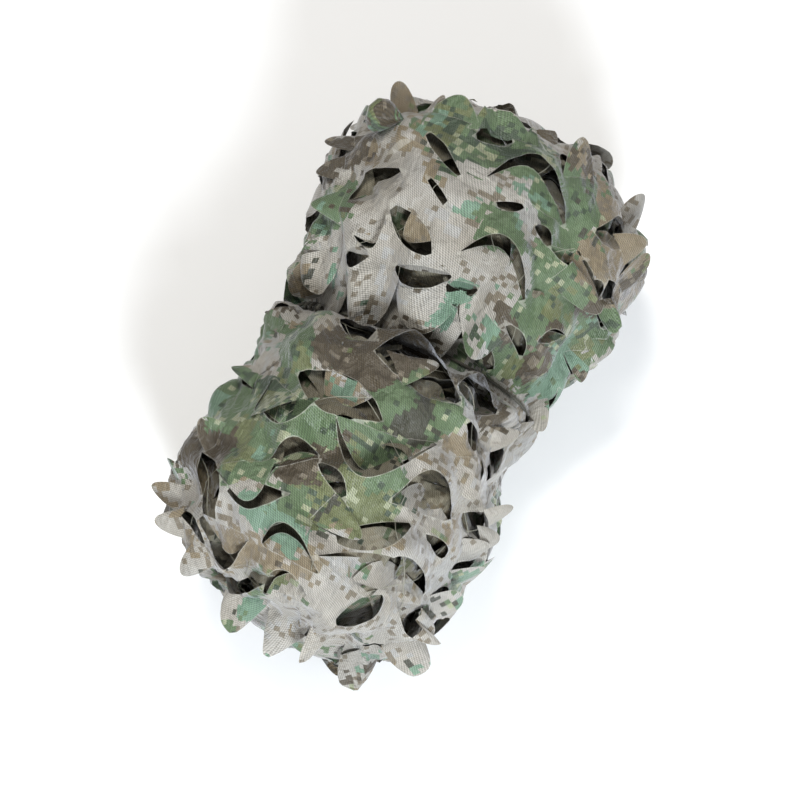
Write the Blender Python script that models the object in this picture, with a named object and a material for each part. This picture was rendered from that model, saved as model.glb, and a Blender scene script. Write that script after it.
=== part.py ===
"""A camouflage net, rolled up into a bundle and tied at its middle with one cord.

The long way of the bundle is X, up is +Z and it rests on Z = 0. Its origin is under the middle
of its whole box. The tables below measure X from the plane of the tie, and PLACE moves them.
The net is one long closed form: two full lobes, drawn in to a waist under the tie. Its gathers
fan out from the waist, the outer turns of the cloth end in long edges down its side, each
end shows the turns of the roll, and the largest cut openings of the net are hollows.
"""

import math
from collections import namedtuple

import bmesh
import bpy
import numpy as np

# Sizes in metres and angles in degrees. Around the bundle an angle of 0 is +Y and 90 is up.
PLACE = (0.0249, -0.00795, 0.0)  # from the middle of the tie to the origin
LAND = 0.007            # half of the strip under the tie, where the cloth is pressed smooth
SECTION_POWER = 2.25    # a cross-section is a little squarer than an ellipse
AROUND = 68             # facets around
RING_STEP = 0.0145      # from one ring of facets to the next

# The cross-sections from one end to the other. Below 0 the cloth lies flat on the ground.
Section = namedtuple("Section", ("x", "half_width", "top", "bottom", "shift_y"))
SECTIONS = (
    Section(-0.3220, 0.000, 0.128, 0.128, -0.002),
    Section(-0.3205, 0.034, 0.164, 0.090, -0.002),
    Section(-0.3150, 0.074, 0.205, 0.052, -0.004),
    Section(-0.3020, 0.107, 0.235, 0.024, -0.004),
    Section(-0.2790, 0.131, 0.255, 0.008, -0.002),
    Section(-0.2450, 0.147, 0.268, -0.003, 0.002),
    Section(-0.2050, 0.155, 0.275, -0.007, 0.005),
    Section(-0.1600, 0.155, 0.276, -0.007, 0.001),
    Section(-0.1130, 0.150, 0.272, -0.005, -0.001),
    Section(-0.0750, 0.147, 0.267, -0.001, 0.002),
    Section(-0.0450, 0.143, 0.256, 0.005, 0.005),
    Section(-0.0260, 0.139, 0.236, 0.014, 0.004),
    Section(-0.0140, 0.132, 0.208, 0.024, 0.003),
    Section(-0.0070, 0.125, 0.184, 0.032, 0.002),
    Section(0.0070, 0.125, 0.184, 0.032, 0.002),
    Section(0.0140, 0.132, 0.209, 0.024, 0.001),
    Section(0.0260, 0.140, 0.240, 0.013, 0.000),
    Section(0.0450, 0.146, 0.261, 0.005, 0.000),
    Section(0.0750, 0.153, 0.274, -0.001, -0.002),
    Section(0.1100, 0.160, 0.282, -0.006, -0.002),
    Section(0.1500, 0.162, 0.285, -0.007, 0.001),
    Section(0.1860, 0.157, 0.280, -0.005, 0.000),
    Section(0.2160, 0.144, 0.268, 0.001, 0.001),
    Section(0.2390, 0.125, 0.250, 0.013, 0.000),
    Section(0.2550, 0.098, 0.222, 0.036, -0.003),
    Section(0.2640, 0.064, 0.188, 0.068, -0.006),
    Section(0.2675, 0.031, 0.154, 0.100, -0.006),
    Section(0.2685, 0.000, 0.124, 0.124, -0.006),
)

# The gathers that fan out from the tie.
GATHERS = 13
GATHER_DEPTH = 0.0075
GATHER_STARTS = 0.010   # from the tie's middle, where they begin
GATHER_FULL = 0.032     # where they are deepest
GATHER_FADES = 0.075    # how far past that they run out
GATHER_LEAN_NEAR = -0.6 # radians of a gather's wave by which they lean over GATHER_FADES
GATHER_LEAN_FAR = 0.9
GATHER_UNEVEN = 0.8     # radians by which they crowd together and spread

# The long edges in which the outer turns of the cloth end, on the bundle's +Y side.
Edge = namedtuple("Edge", ("angle", "height", "slant", "wave", "wave_length"))
EDGES = (
    Edge(24.0, 0.0080, 30.0, 5.0, 0.170),
    Edge(2.0, 0.0065, -22.0, 6.0, 0.210),
    Edge(-21.0, 0.0055, 18.0, 5.0, 0.150),
)
EDGE_WIDTH = 5.0        # degrees, over which an edge steps down
EDGE_FADES = 60.0       # degrees past it, where the cloth has sunk back
EDGE_STARTS = 0.05      # from the tie's middle, where an edge has its full height
EDGE_GROWS = (0.03, 0.12)  # half widths of the bundle between which an edge grows at its ends

# The turns of the roll that show at each end.
END_PITCH = 0.046
END_DEPTH = 0.0045
END_STARTS = 0.82       # share of the lobe's half width inside which they show
END_SPREAD = 0.25       # share of it over which they grow
END_CORE = (0.008, 0.030)  # half widths between which they grow out of the rolled core
END_PART = (0.22, 0.24) # from the tie's middle, where the ends begin

# The cloth stands up and sinks unevenly between its cuts.
PUFF_STARTS = 0.04      # from the tie's middle, where the puffs have their full height
PUFF_GROWS = (0.02, 0.08)  # half widths of the bundle between which they grow at its ends
Puff = namedtuple("Puff", ("height", "length", "waves_around", "phase"))
PUFFS = (
    Puff(0.0030, 0.128, 5, 0.6),
    Puff(0.0026, 0.083, -7, 2.1),
    Puff(0.0018, 0.061, 11, 4.0),
)

# The largest cut openings: where, how long and wide, how far turned from X, and how deep.
GAP_BOW = 0.35          # how far an opening bows sideways, as a share of half its width
GAP_WALL = 0.75         # share of an opening's room that its sloping wall takes
Gap = namedtuple("Gap", ("x", "angle", "length", "width", "turn", "depth"))
GAPS = (
    # The upper side of the far lobe.
    Gap(0.148, 79.0, 0.060, 0.020, 123.0, 0.008),
    Gap(0.108, 58.0, 0.062, 0.022, 64.0, 0.009),
    Gap(0.078, 78.0, 0.056, 0.030, 125.0, 0.011),
    Gap(0.054, 59.0, 0.047, 0.024, 36.0, 0.009),
    Gap(0.056, 93.0, 0.074, 0.040, 82.0, 0.011),
    Gap(0.090, 111.0, 0.080, 0.034, 99.0, 0.010),
    Gap(0.155, 105.0, 0.086, 0.036, 91.0, 0.010),
    Gap(0.165, 141.0, 0.050, 0.026, 66.0, 0.012),
    Gap(0.060, 143.0, 0.044, 0.020, 55.0, 0.009),
    # The upper side of the near lobe.
    Gap(-0.100, 84.0, 0.084, 0.042, 95.0, 0.012),
    Gap(-0.143, 71.0, 0.056, 0.022, 45.0, 0.009),
    Gap(-0.140, 101.0, 0.088, 0.034, 74.0, 0.012),
    Gap(-0.215, 54.0, 0.074, 0.040, 161.0, 0.012),
    Gap(-0.226, 79.0, 0.056, 0.026, 74.0, 0.010),
    Gap(-0.240, 98.0, 0.060, 0.026, 95.0, 0.009),
    Gap(-0.170, 126.0, 0.070, 0.036, 78.0, 0.011),
    Gap(-0.205, 112.0, 0.068, 0.024, 45.0, 0.010),
    Gap(-0.230, 133.0, 0.078, 0.028, 72.0, 0.010),
    Gap(-0.262, 120.0, 0.052, 0.022, 31.0, 0.009),
    # The two sides, where the cuts stand in staggered rows.
    Gap(0.190, 172.0, 0.060, 0.028, 80.0, 0.010),
    Gap(0.115, 176.0, 0.060, 0.028, 100.0, 0.010),
    Gap(0.065, 208.0, 0.056, 0.026, 75.0, 0.010),
    Gap(0.150, 212.0, 0.060, 0.028, 95.0, 0.010),
    Gap(-0.085, 164.0, 0.058, 0.028, 80.0, 0.010),
    Gap(-0.155, 178.0, 0.060, 0.028, 100.0, 0.010),
    Gap(-0.225, 172.0, 0.060, 0.028, 78.0, 0.010),
    Gap(-0.115, 212.0, 0.056, 0.026, 95.0, 0.010),
    Gap(-0.195, 214.0, 0.060, 0.028, 80.0, 0.010),
    Gap(0.165, 34.0, 0.060, 0.028, 100.0, 0.010),
    Gap(0.095, 18.0, 0.058, 0.028, 80.0, 0.010),
    Gap(0.180, -4.0, 0.056, 0.026, 100.0, 0.010),
    Gap(0.120, -34.0, 0.060, 0.028, 80.0, 0.010),
    Gap(-0.100, 30.0, 0.058, 0.028, 100.0, 0.010),
    Gap(-0.165, 8.0, 0.060, 0.028, 80.0, 0.010),
    Gap(-0.090, -32.0, 0.056, 0.026, 95.0, 0.010),
    Gap(-0.215, -30.0, 0.060, 0.028, 80.0, 0.010),
)

# The tie: one cord once around the waist, with a half knot and two short free ends.
CORD = 0.0036           # across
CORD_CLEAR = 0.0007     # between the middle line's straight runs and the cloth, beside its half width
CORD_SIDES = 2          # bevel resolution, which gives eight sides
CORD_POINTS = 44        # around the waist
KNOT_ANGLE = 33.0       # where the knot is
KNOT_HALF = 7.5         # degrees from the knot's middle to where its strands part
KNOT_TURNS = 1.5        # twists of one strand about the other
KNOT_RADIUS = 0.0027    # from the knot's axis to the middle of each strand
KNOT_POINTS = 13        # along each strand of the knot
# The routes of the two free ends, as x, y and z from the knot out to their tips.
LONG_END = (
    (-0.0030, 0.1266, 0.1470),
    (-0.0100, 0.1318, 0.1490),
    (-0.0165, 0.1360, 0.1530),
    (-0.0225, 0.1392, 0.1585),
    (-0.0275, 0.1428, 0.1645),
    (-0.0315, 0.1465, 0.1710),
)
SHORT_END = (
    (-0.0012, 0.1016, 0.1730),
    (-0.0042, 0.0998, 0.1790),
    (-0.0080, 0.0990, 0.1850),
    (-0.0125, 0.0990, 0.1905),
)


def column(rows, name):
    """One named column of a table, as an array."""
    return np.array([getattr(row, name) for row in rows], dtype=float)


def smooth_through(knots, values, at):
    """A smooth curve through values at knots that never swings past them, read at the places given."""
    step = np.diff(knots)
    slope = np.diff(values) / step
    tangent = np.zeros_like(values)
    same_way = slope[1:] * slope[:-1] > 0
    total = slope[1:] + slope[:-1]
    mean = 2 * slope[1:] * slope[:-1] / np.where(same_way, total, 1)
    tangent[1:-1] = np.where(same_way, mean, 0)
    tangent[0] = slope[0]
    tangent[-1] = slope[-1]
    span = np.clip(np.searchsorted(knots, at, side="right") - 1, 0, len(step) - 1)
    part = (at - knots[span]) / step[span]
    rise = values[span + 1] - values[span]
    near = part * (1 - part) ** 2 * tangent[span] * step[span]
    far = part**2 * (part - 1) * tangent[span + 1] * step[span]
    return values[span] + rise * part**2 * (3 - 2 * part) + near + far


def ramp(value, start, end):
    """0 up to start, 1 from end on, and smooth between them."""
    part = np.clip((value - start) / (end - start), 0, 1)
    return part * part * (3 - 2 * part)


def meridian():
    """The distance of each section from the first one, over the cloth along the bundle."""
    x, width, top, bottom = (np.diff(column(SECTIONS, name))
                             for name in ("x", "half_width", "top", "bottom"))
    drawn_in = (width**2 + ((top - bottom) / 2) ** 2) / 2
    return np.concatenate([[0], np.cumsum(np.sqrt(x**2 + drawn_in))])


def superellipse(turn):
    """The two sides, from -1 to 1, of a squarish ring at an angle in radians."""
    across = np.sign(np.cos(turn)) * np.abs(np.cos(turn)) ** (2 / SECTION_POWER)
    up = np.sign(np.sin(turn)) * np.abs(np.sin(turn)) ** (2 / SECTION_POWER)
    return across, up


def plain_surface(along, turn):
    """Points on the bundle without its relief, for a distance along it and an angle around it."""
    knots = meridian()
    x, half, top, bottom, shift = (
        smooth_through(knots, column(SECTIONS, name), along)
        for name in Section._fields
    )
    across, up = superellipse(turn)
    middle = (top + bottom) / 2
    return np.stack([x, shift + half * across, middle + (top - bottom) / 2 * up], axis=-1)


def wrapped(angle):
    """An angle in degrees brought to between -180 and 180."""
    return (angle + 180) % 360 - 180


def gathers(x, angle):
    """Folds that begin beside the tie and run out over the lobes."""
    away = np.abs(x)
    rise = ramp(away, GATHER_STARTS, GATHER_FULL)
    fall = 1 - ramp(away, GATHER_FULL, GATHER_FULL + GATHER_FADES)
    lean = np.where(x > 0, GATHER_LEAN_FAR, GATHER_LEAN_NEAR) * away / GATHER_FADES
    crowd = GATHER_UNEVEN * np.sin(2 * np.radians(angle))
    wave = np.sin(GATHERS * np.radians(angle) + lean + crowd)
    return GATHER_DEPTH * rise * fall * wave


def turn_edges(x, angle):
    """Steps down the side of the bundle where the outer turns of the cloth end."""
    height = np.zeros(np.broadcast(x, angle).shape)
    clear = ramp(np.abs(x), LAND, EDGE_STARTS)
    for edge in EDGES:
        line = edge.angle + edge.slant * x + edge.wave * np.sin(2 * np.pi * x / edge.wave_length)
        past = wrapped(angle - line)
        lip = ramp(past, -EDGE_WIDTH / 2, EDGE_WIDTH / 2)
        fade = 1 - ramp(past, EDGE_WIDTH, EDGE_FADES)
        height = height + edge.height * clear * lip * fade
    return height


def end_turns(across_share, radius, angle):
    """The turns of the roll, as one spiral ridge on each end."""
    inside = 1 - ramp(across_share, END_STARTS - END_SPREAD, END_STARTS)
    core = ramp(radius, *END_CORE)
    return END_DEPTH * inside * core * np.sin(2 * np.pi * radius / END_PITCH - np.radians(angle))


def puffs(x, angle):
    """Soft uneven heights all over, none of them under the tie."""
    height = np.zeros(np.broadcast(x, angle).shape)
    for puff in PUFFS:
        wave = 2 * np.pi * x / puff.length + puff.waves_around * np.radians(angle)
        height = height + puff.height * np.sin(wave + puff.phase)
    return height * ramp(np.abs(x), LAND, PUFF_STARTS)


def gap_hollows(x, angle, girth):
    """The hollows of the largest openings, pointed at both ends and steep on one long side."""
    depth = np.zeros(np.broadcast(x, angle).shape)
    for gap in GAPS:
        right = x - gap.x
        around = np.radians(wrapped(angle - gap.angle)) * girth
        cos, sin = math.cos(math.radians(gap.turn)), math.sin(math.radians(gap.turn))
        along = (right * cos + around * sin) / (gap.length / 2)
        bowed = (around * cos - right * sin) / (gap.width / 2) - GAP_BOW * (1 - along**2)
        room = 1 - along**2 - bowed**2
        depth = depth + gap.depth * ramp(room, 0, GAP_WALL)
    return depth


def surface_normals(grid):
    """Outward normals on a grid of points that closes on itself around the bundle."""
    along = np.gradient(grid, axis=0)
    around = (np.roll(grid, -1, axis=1) - np.roll(grid, 1, axis=1)) / 2
    normal = np.cross(around, along)
    length = np.linalg.norm(normal, axis=2, keepdims=True)
    return normal / np.maximum(length, 1e-12)


def relief(along, turn):
    """How far the folds, edges and hollows stand out from the plain surface."""
    knots = meridian()
    x, half = (smooth_through(knots, column(SECTIONS, name), along)
               for name in ("x", "half_width"))
    angle = np.degrees(turn)
    near = max(section.half_width for section in SECTIONS if section.x < 0)
    far = max(section.half_width for section in SECTIONS if section.x > 0)
    height = gathers(x, angle) + turn_edges(x, angle) * ramp(half, *EDGE_GROWS)
    height = height + puffs(x, angle) * ramp(half, *PUFF_GROWS)
    at_end = ramp(np.abs(x), *END_PART)
    height = height + end_turns(half / np.where(x < 0, near, far), half, angle) * at_end
    return height - gap_hollows(x, angle, half)


def bundle_rings():
    """The bundle's rings of points, and its two end points."""
    knots = meridian()
    count = int(knots[-1] / RING_STEP)
    land = [knots[i] for i, section in enumerate(SECTIONS) if abs(section.x) <= LAND]
    along = np.linspace(0, knots[-1], count + 1)[1:-1]
    spacing = knots[-1] / count
    along = along[(along < land[0] - spacing / 2) | (along > land[1] + spacing / 2)]
    along = np.sort(np.concatenate([along, land, [(land[0] + land[1]) / 2]]))
    turn = np.arange(AROUND) * 2 * np.pi / AROUND
    along, turn = np.meshgrid(along, turn, indexing="ij")
    grid = plain_surface(along, turn)
    grid = grid + surface_normals(grid) * relief(along, turn)[..., None]
    grid[..., 2] = np.maximum(grid[..., 2], 0)
    ends = plain_surface(np.array([0, knots[-1]]), np.zeros(2))
    return grid, ends


def over_waist(x, angle, out):
    """A point straight out from the smooth strip of the waist, moved along the bundle by x."""
    knots = meridian()
    along = np.interp(0, column(SECTIONS, "x"), knots)
    turn, step = math.radians(angle), 0.001
    around = plain_surface(along, turn + step) - plain_surface(along, turn - step)
    away = np.array([0, around[2], -around[1]]) / np.linalg.norm(around[1:])
    return plain_surface(along, turn) + away * out + np.array([x, 0, 0])


def tie_path():
    """The cord's middle line: a free end, the knot, around the waist, the knot, a free end."""
    rest = CORD / 2 + CORD_CLEAR
    axis = rest + KNOT_RADIUS
    under, over = [], []
    for part in np.linspace(0, 1, KNOT_POINTS):
        swing = 2 * np.pi * KNOT_TURNS * part
        aside, lift = KNOT_RADIUS * math.sin(swing), KNOT_RADIUS * math.cos(swing)
        angle = KNOT_ANGLE + KNOT_HALF * (1 - 2 * part)
        under.append(over_waist(aside, angle, axis - lift))
        over.append(over_waist(-aside, angle, axis + lift))
    step = 360 / CORD_POINTS
    start = KNOT_ANGLE + KNOT_HALF + step
    end = KNOT_ANGLE - KNOT_HALF + 360 - step
    waist = [over_waist(0, angle, rest) for angle in np.linspace(end, start, CORD_POINTS)]
    return [*SHORT_END[::-1], *over, *waist, *under, *LONG_END]


def fabric(name, colour, roughness):
    """A cloth or cord material."""
    material = bpy.data.materials.new(name)
    material.use_nodes = True
    shader = material.node_tree.nodes["Principled BSDF"]
    shader.inputs["Base Color"].default_value = (*colour, 1)
    shader.inputs["Roughness"].default_value = roughness
    return material


def new_object(name, mesh, material, collection):
    """An object in the collection, with its own material."""
    thing = bpy.data.objects.new(name, mesh)
    thing.data.materials.append(material)
    collection.objects.link(thing)
    return thing


def make_bundle(collection):
    """The rolled net, lofted through its rings, with each end closed to a point."""
    grid, ends = bundle_rings()
    rings, around = grid.shape[:2]
    points = np.concatenate([grid.reshape(-1, 3), ends]) + PLACE
    first, last = rings * around, rings * around + 1
    ring = np.arange(around)
    faces = []
    for i in range(rings - 1):
        here, there = i * around, (i + 1) * around
        faces += [(here + j, here + (j + 1) % around, there + (j + 1) % around, there + j)
                  for j in range(around)]
    faces += [(first, int((j + 1) % around), int(j)) for j in ring]
    tail = (rings - 1) * around
    faces += [(last, int(tail + j), int(tail + (j + 1) % around)) for j in ring]
    mesh = bpy.data.meshes.new("net_bundle")
    mesh.from_pydata(points.tolist(), [], faces)
    work = bmesh.new()
    work.from_mesh(mesh)
    bmesh.ops.recalc_face_normals(work, faces=work.faces)
    work.to_mesh(mesh)
    work.free()
    mesh.update()
    return new_object("net_bundle", mesh, fabric("camouflage_cloth", (0.25, 0.27, 0.19), 0.8),
                      collection)


def make_tie(collection):
    """The tie, a round cord swept along its whole path."""
    path = np.array(tie_path()) + PLACE
    curve = bpy.data.curves.new("waist_tie", "CURVE")
    curve.dimensions = "3D"
    curve.bevel_depth = CORD / 2
    curve.bevel_resolution = CORD_SIDES
    curve.use_fill_caps = True
    line = curve.splines.new("POLY")
    line.points.add(len(path) - 1)
    with_weight = np.pad(path, ((0, 0), (0, 1)), constant_values=1)
    line.points.foreach_set("co", with_weight.ravel())
    return new_object("waist_tie", curve, fabric("dark_cord", (0.05, 0.05, 0.035), 0.7), collection)


def clear_scene():
    """Take out whatever the new file holds."""
    for thing in list(bpy.data.objects):
        bpy.data.objects.remove(thing)


clear_scene()
net = bpy.data.collections.new("camouflage_net")
bpy.context.scene.collection.children.link(net)
make_bundle(net)
make_tie(net)
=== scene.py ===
# %% [markdown]
# # A camouflage net, rolled up and tied
#
# The real net is a large sheet of thin printed cloth, cut all over with curved slits. The cloth
# pulls open at every slit, so a leaf of it stands out on one side and a dark gap shows on the
# other. Here the whole net is rolled up, and one cord draws the roll in at its middle.
#
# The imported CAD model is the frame: one closed body for the roll and one cord. This script
# dresses the roll in turns of cut cloth that follow the same surface, each a little inside the
# last, so real turns show through the openings.

# %% The frame
import math
from collections import namedtuple

import bpy
import numpy as np
from mathutils import Matrix, Vector


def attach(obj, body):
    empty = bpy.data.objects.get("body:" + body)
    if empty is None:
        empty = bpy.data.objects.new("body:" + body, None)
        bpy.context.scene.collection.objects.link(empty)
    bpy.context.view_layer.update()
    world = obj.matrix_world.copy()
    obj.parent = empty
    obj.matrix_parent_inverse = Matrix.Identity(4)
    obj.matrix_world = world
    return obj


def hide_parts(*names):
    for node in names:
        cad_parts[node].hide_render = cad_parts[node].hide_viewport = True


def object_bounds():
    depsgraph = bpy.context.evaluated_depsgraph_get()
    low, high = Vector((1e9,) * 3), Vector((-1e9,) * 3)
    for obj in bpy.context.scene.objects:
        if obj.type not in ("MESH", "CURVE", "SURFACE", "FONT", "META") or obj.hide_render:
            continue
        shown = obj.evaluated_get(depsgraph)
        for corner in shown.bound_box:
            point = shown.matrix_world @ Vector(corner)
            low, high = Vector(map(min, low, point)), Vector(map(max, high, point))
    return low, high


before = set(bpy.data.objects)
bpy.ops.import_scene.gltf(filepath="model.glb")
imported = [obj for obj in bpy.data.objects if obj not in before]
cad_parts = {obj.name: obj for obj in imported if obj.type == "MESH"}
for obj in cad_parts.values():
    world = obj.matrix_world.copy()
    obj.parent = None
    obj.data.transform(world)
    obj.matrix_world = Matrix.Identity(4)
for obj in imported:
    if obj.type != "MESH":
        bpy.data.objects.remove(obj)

cad_box = [list(corner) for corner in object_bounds()]
print("CAD box in metres:", cad_box)

# %% [markdown]
# ## Camera
# A long lens from high over one side flattens the perspective, as in a catalogue picture. Its
# direction is given by an azimuth and an elevation, which is easier to adjust than a rotation.

# %% Camera
PLACE = np.array([0.0249, -0.00795, 0.0])  # from the middle of the tie to the frame's origin
VIEW_AZIMUTH, VIEW_ELEVATION = -64.2, 70.0
VIEW_DISTANCE = 2.8
VIEW_LENS = 126.0
AIM = np.array([0.0, 0.002, 0.11]) + PLACE
AIM_RIGHT, AIM_UP = -0.0116, -0.0329    # from the tie to the middle of the picture

azimuth, elevation = math.radians(VIEW_AZIMUTH), math.radians(VIEW_ELEVATION)
view_right = np.array([math.cos(azimuth), math.sin(azimuth), 0])
view_back = np.array([math.sin(azimuth) * math.cos(elevation),
                      -math.cos(azimuth) * math.cos(elevation), math.sin(elevation)])
view_up = np.cross(view_back, view_right)
camera_data = bpy.data.cameras.new("camera")
camera_data.lens = VIEW_LENS
camera = bpy.data.objects.new("camera", camera_data)
bpy.context.scene.collection.objects.link(camera)
camera.location = Vector(AIM + VIEW_DISTANCE * view_back
                         + AIM_RIGHT * view_right + AIM_UP * view_up)
turned = Matrix([view_right, view_up, view_back]).transposed()
camera.rotation_euler = turned.to_euler()
bpy.context.scene.camera = camera
print("Camera at", [round(c, 3) for c in camera.location])

# %% [markdown]
# ## The surface of the roll
# Every piece follows one surface, given by a distance along the cloth and an angle around the
# roll. Its cross-sections stand in a short table, and a smooth curve runs through each column.
# These are the same sections that the CAD body is lofted through.

# %% Cross-sections
Section = namedtuple("Section", ("x", "half_width", "top", "bottom", "shift_y"))
SECTIONS = (
    Section(-0.3220, 0.000, 0.128, 0.128, -0.002),
    Section(-0.3205, 0.034, 0.164, 0.090, -0.002),
    Section(-0.3150, 0.074, 0.205, 0.052, -0.004),
    Section(-0.3020, 0.107, 0.235, 0.024, -0.004),
    Section(-0.2790, 0.131, 0.255, 0.008, -0.002),
    Section(-0.2450, 0.147, 0.268, -0.003, 0.002),
    Section(-0.2050, 0.155, 0.275, -0.007, 0.005),
    Section(-0.1600, 0.155, 0.276, -0.007, 0.001),
    Section(-0.1130, 0.150, 0.272, -0.005, -0.001),
    Section(-0.0750, 0.147, 0.267, -0.001, 0.002),
    Section(-0.0450, 0.143, 0.256, 0.005, 0.005),
    Section(-0.0260, 0.139, 0.236, 0.014, 0.004),
    Section(-0.0140, 0.132, 0.208, 0.024, 0.003),
    Section(-0.0070, 0.125, 0.184, 0.032, 0.002),
    Section(0.0070, 0.125, 0.184, 0.032, 0.002),
    Section(0.0140, 0.132, 0.209, 0.024, 0.001),
    Section(0.0260, 0.140, 0.240, 0.013, 0.000),
    Section(0.0450, 0.146, 0.261, 0.005, 0.000),
    Section(0.0750, 0.153, 0.274, -0.001, -0.002),
    Section(0.1100, 0.160, 0.282, -0.006, -0.002),
    Section(0.1500, 0.162, 0.285, -0.007, 0.001),
    Section(0.1860, 0.157, 0.280, -0.005, 0.000),
    Section(0.2160, 0.144, 0.268, 0.001, 0.001),
    Section(0.2390, 0.125, 0.250, 0.013, 0.000),
    Section(0.2550, 0.098, 0.222, 0.036, -0.003),
    Section(0.2640, 0.064, 0.188, 0.068, -0.006),
    Section(0.2675, 0.031, 0.154, 0.100, -0.006),
    Section(0.2685, 0.000, 0.124, 0.124, -0.006),
)
SECTION_POWER = 2.25    # a cross-section is a little squarer than an ellipse
LAND = 0.007            # half of the strip that the tie presses smooth
RADIUS = 0.147          # of a full lobe, which turns an angle into a distance around it
SMALLEST = 0.055        # radius that still counts at the ends


def column(name):
    """One named column of the table of cross-sections, as an array."""
    return np.array([getattr(section, name) for section in SECTIONS], dtype=float)


def meridian():
    """The distance of each section from the first, over the cloth: the root of the squared step
    in x plus half the squared steps in width and in height."""
    x, width, top, bottom = (np.diff(column(name)) for name in ("x", "half_width", "top", "bottom"))
    narrowing = (width**2 + ((top - bottom) / 2) ** 2) / 2
    return np.concatenate([[0], np.cumsum(np.sqrt(x**2 + narrowing))])


def smooth_through(values, at):
    """A cubic through values at the sections that never swings past them: each slope is the
    harmonic mean of its neighbours, or 0 at a peak."""
    step = np.diff(KNOTS)
    slope = np.diff(values) / step
    tangent = np.zeros_like(values)
    same_way = slope[1:] * slope[:-1] > 0
    total = np.where(same_way, slope[1:] + slope[:-1], 1)
    tangent[1:-1] = np.where(same_way, 2 * slope[1:] * slope[:-1] / total, 0)
    tangent[0], tangent[-1] = slope[0], slope[-1]
    span = np.clip(np.searchsorted(KNOTS, at, side="right") - 1, 0, len(step) - 1)
    part = (at - KNOTS[span]) / step[span]
    near = part * (1 - part) ** 2 * tangent[span] * step[span]
    far = part**2 * (part - 1) * tangent[span + 1] * step[span]
    rise = values[span + 1] - values[span]
    return values[span] + rise * part**2 * (3 - 2 * part) + near + far


KNOTS = meridian()
FULL_LENGTH = KNOTS[-1]
WAIST = float(np.interp(0, column("x"), KNOTS))
print(f"The cloth is {FULL_LENGTH:.3f} m from end to end, and its waist is at {WAIST:.3f} m")

# %% [markdown]
# ## Folds of the roll
# Gathers fan out from the tie, long edges run down one side where the outer turns of the cloth
# end, and the cloth puffs up unevenly. Each is a sum of a few waves, so it costs nothing to
# evaluate and comes out the same every time.

# %% Folds
Edge = namedtuple("Edge", ("angle", "height", "slant", "wave", "wave_length"))
EDGES = (
    Edge(24.0, 0.0080, 30.0, 5.0, 0.170),
    Edge(2.0, 0.0065, -22.0, 6.0, 0.210),
    Edge(-21.0, 0.0055, 18.0, 5.0, 0.150),
)
Puff = namedtuple("Puff", ("height", "length", "waves_around", "phase"))
PUFFS = (
    Puff(0.0030, 0.128, 5, 0.6),
    Puff(0.0026, 0.083, -7, 2.1),
    Puff(0.0018, 0.061, 11, 4.0),
)
GATHERS, GATHER_DEPTH = 13, 0.0075
GATHER_STARTS, GATHER_FULL, GATHER_FADES = 0.010, 0.032, 0.075
FAN_FAR, FAN_NEAR = 0.9, -0.6   # how far the gathers of each lobe lean as they fan out
UNEVEN = 0.8                    # how far they stand from an even spacing
EDGE_WIDTH, EDGE_FADE = 5.0, 60.0       # degrees over which an edge rises, and falls off again
EDGE_FULL, PUFF_FULL = 0.05, 0.04       # distances from the tie at which each stands full
EDGE_ENDS, PUFF_ENDS = (0.03, 0.12), (0.02, 0.08)   # half widths between which each fades out
TINY = 1e-12                    # keeps a division by a length from failing


def ramp(value, start, end):
    """0 up to start, 1 from end on, and a smooth step (3p² - 2p³) between them."""
    part = np.clip((value - start) / (end - start), 0, 1)
    return part * part * (3 - 2 * part)


def wrapped(angle):
    """An angle in degrees brought to between -180 and 180."""
    return (angle + 180) % 360 - 180


def unit(vectors):
    """Directions of length 1: each vector divided by its length."""
    return vectors / np.maximum(np.linalg.norm(vectors, axis=-1, keepdims=True), TINY)


def plain_surface(along, angle):
    """Points of the roll without folds: a superellipse of each section's width and height."""
    x, half, top, bottom, shift = (smooth_through(column(name), along) for name in Section._fields)
    turn = np.radians(angle)
    power = 2 / SECTION_POWER
    across = np.sign(np.cos(turn)) * np.abs(np.cos(turn)) ** power
    up = np.sign(np.sin(turn)) * np.abs(np.sin(turn)) ** power
    middle, tall = (top + bottom) / 2, (top - bottom) / 2
    return np.stack([x, shift + half * across, middle + tall * up], axis=-1)


def folds(along, angle):
    """How far gathers, long edges and puffs stand out: a sum of waves, each faded by ramps."""
    x, half = smooth_through(column("x"), along), smooth_through(column("half_width"), along)
    away = np.abs(x)
    turn = np.radians(angle)
    lean = np.where(x > 0, FAN_FAR, FAN_NEAR) * away / GATHER_FADES
    shown = ramp(away, GATHER_STARTS, GATHER_FULL)
    shown = shown * (1 - ramp(away, GATHER_FULL, GATHER_FULL + GATHER_FADES))
    height = GATHER_DEPTH * shown * np.sin(GATHERS * turn + lean + UNEVEN * np.sin(2 * turn))
    for edge in EDGES:
        line = edge.angle + edge.slant * x + edge.wave * np.sin(2 * np.pi * x / edge.wave_length)
        past = wrapped(angle - line)
        lip = ramp(past, -EDGE_WIDTH / 2, EDGE_WIDTH / 2) * (1 - ramp(past, EDGE_WIDTH, EDGE_FADE))
        height = height + edge.height * ramp(away, LAND, EDGE_FULL) * lip * ramp(half, *EDGE_ENDS)
    for puff in PUFFS:
        wave = np.sin(2 * np.pi * x / puff.length + puff.waves_around * turn + puff.phase)
        height = height + puff.height * wave * ramp(away, LAND, PUFF_FULL) * ramp(half, *PUFF_ENDS)
    return height


def outward(along, angle):
    """Unit normals: the cross product of the steps around and along the plain surface."""
    small = 0.001
    along = np.clip(along, 3 * small, FULL_LENGTH - 3 * small)
    turn_step = math.degrees(small / RADIUS)
    around = plain_surface(along, angle + turn_step) - plain_surface(along, angle - turn_step)
    forward = plain_surface(along + small, angle) - plain_surface(along - small, angle)
    return unit(np.cross(around, forward))


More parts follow.
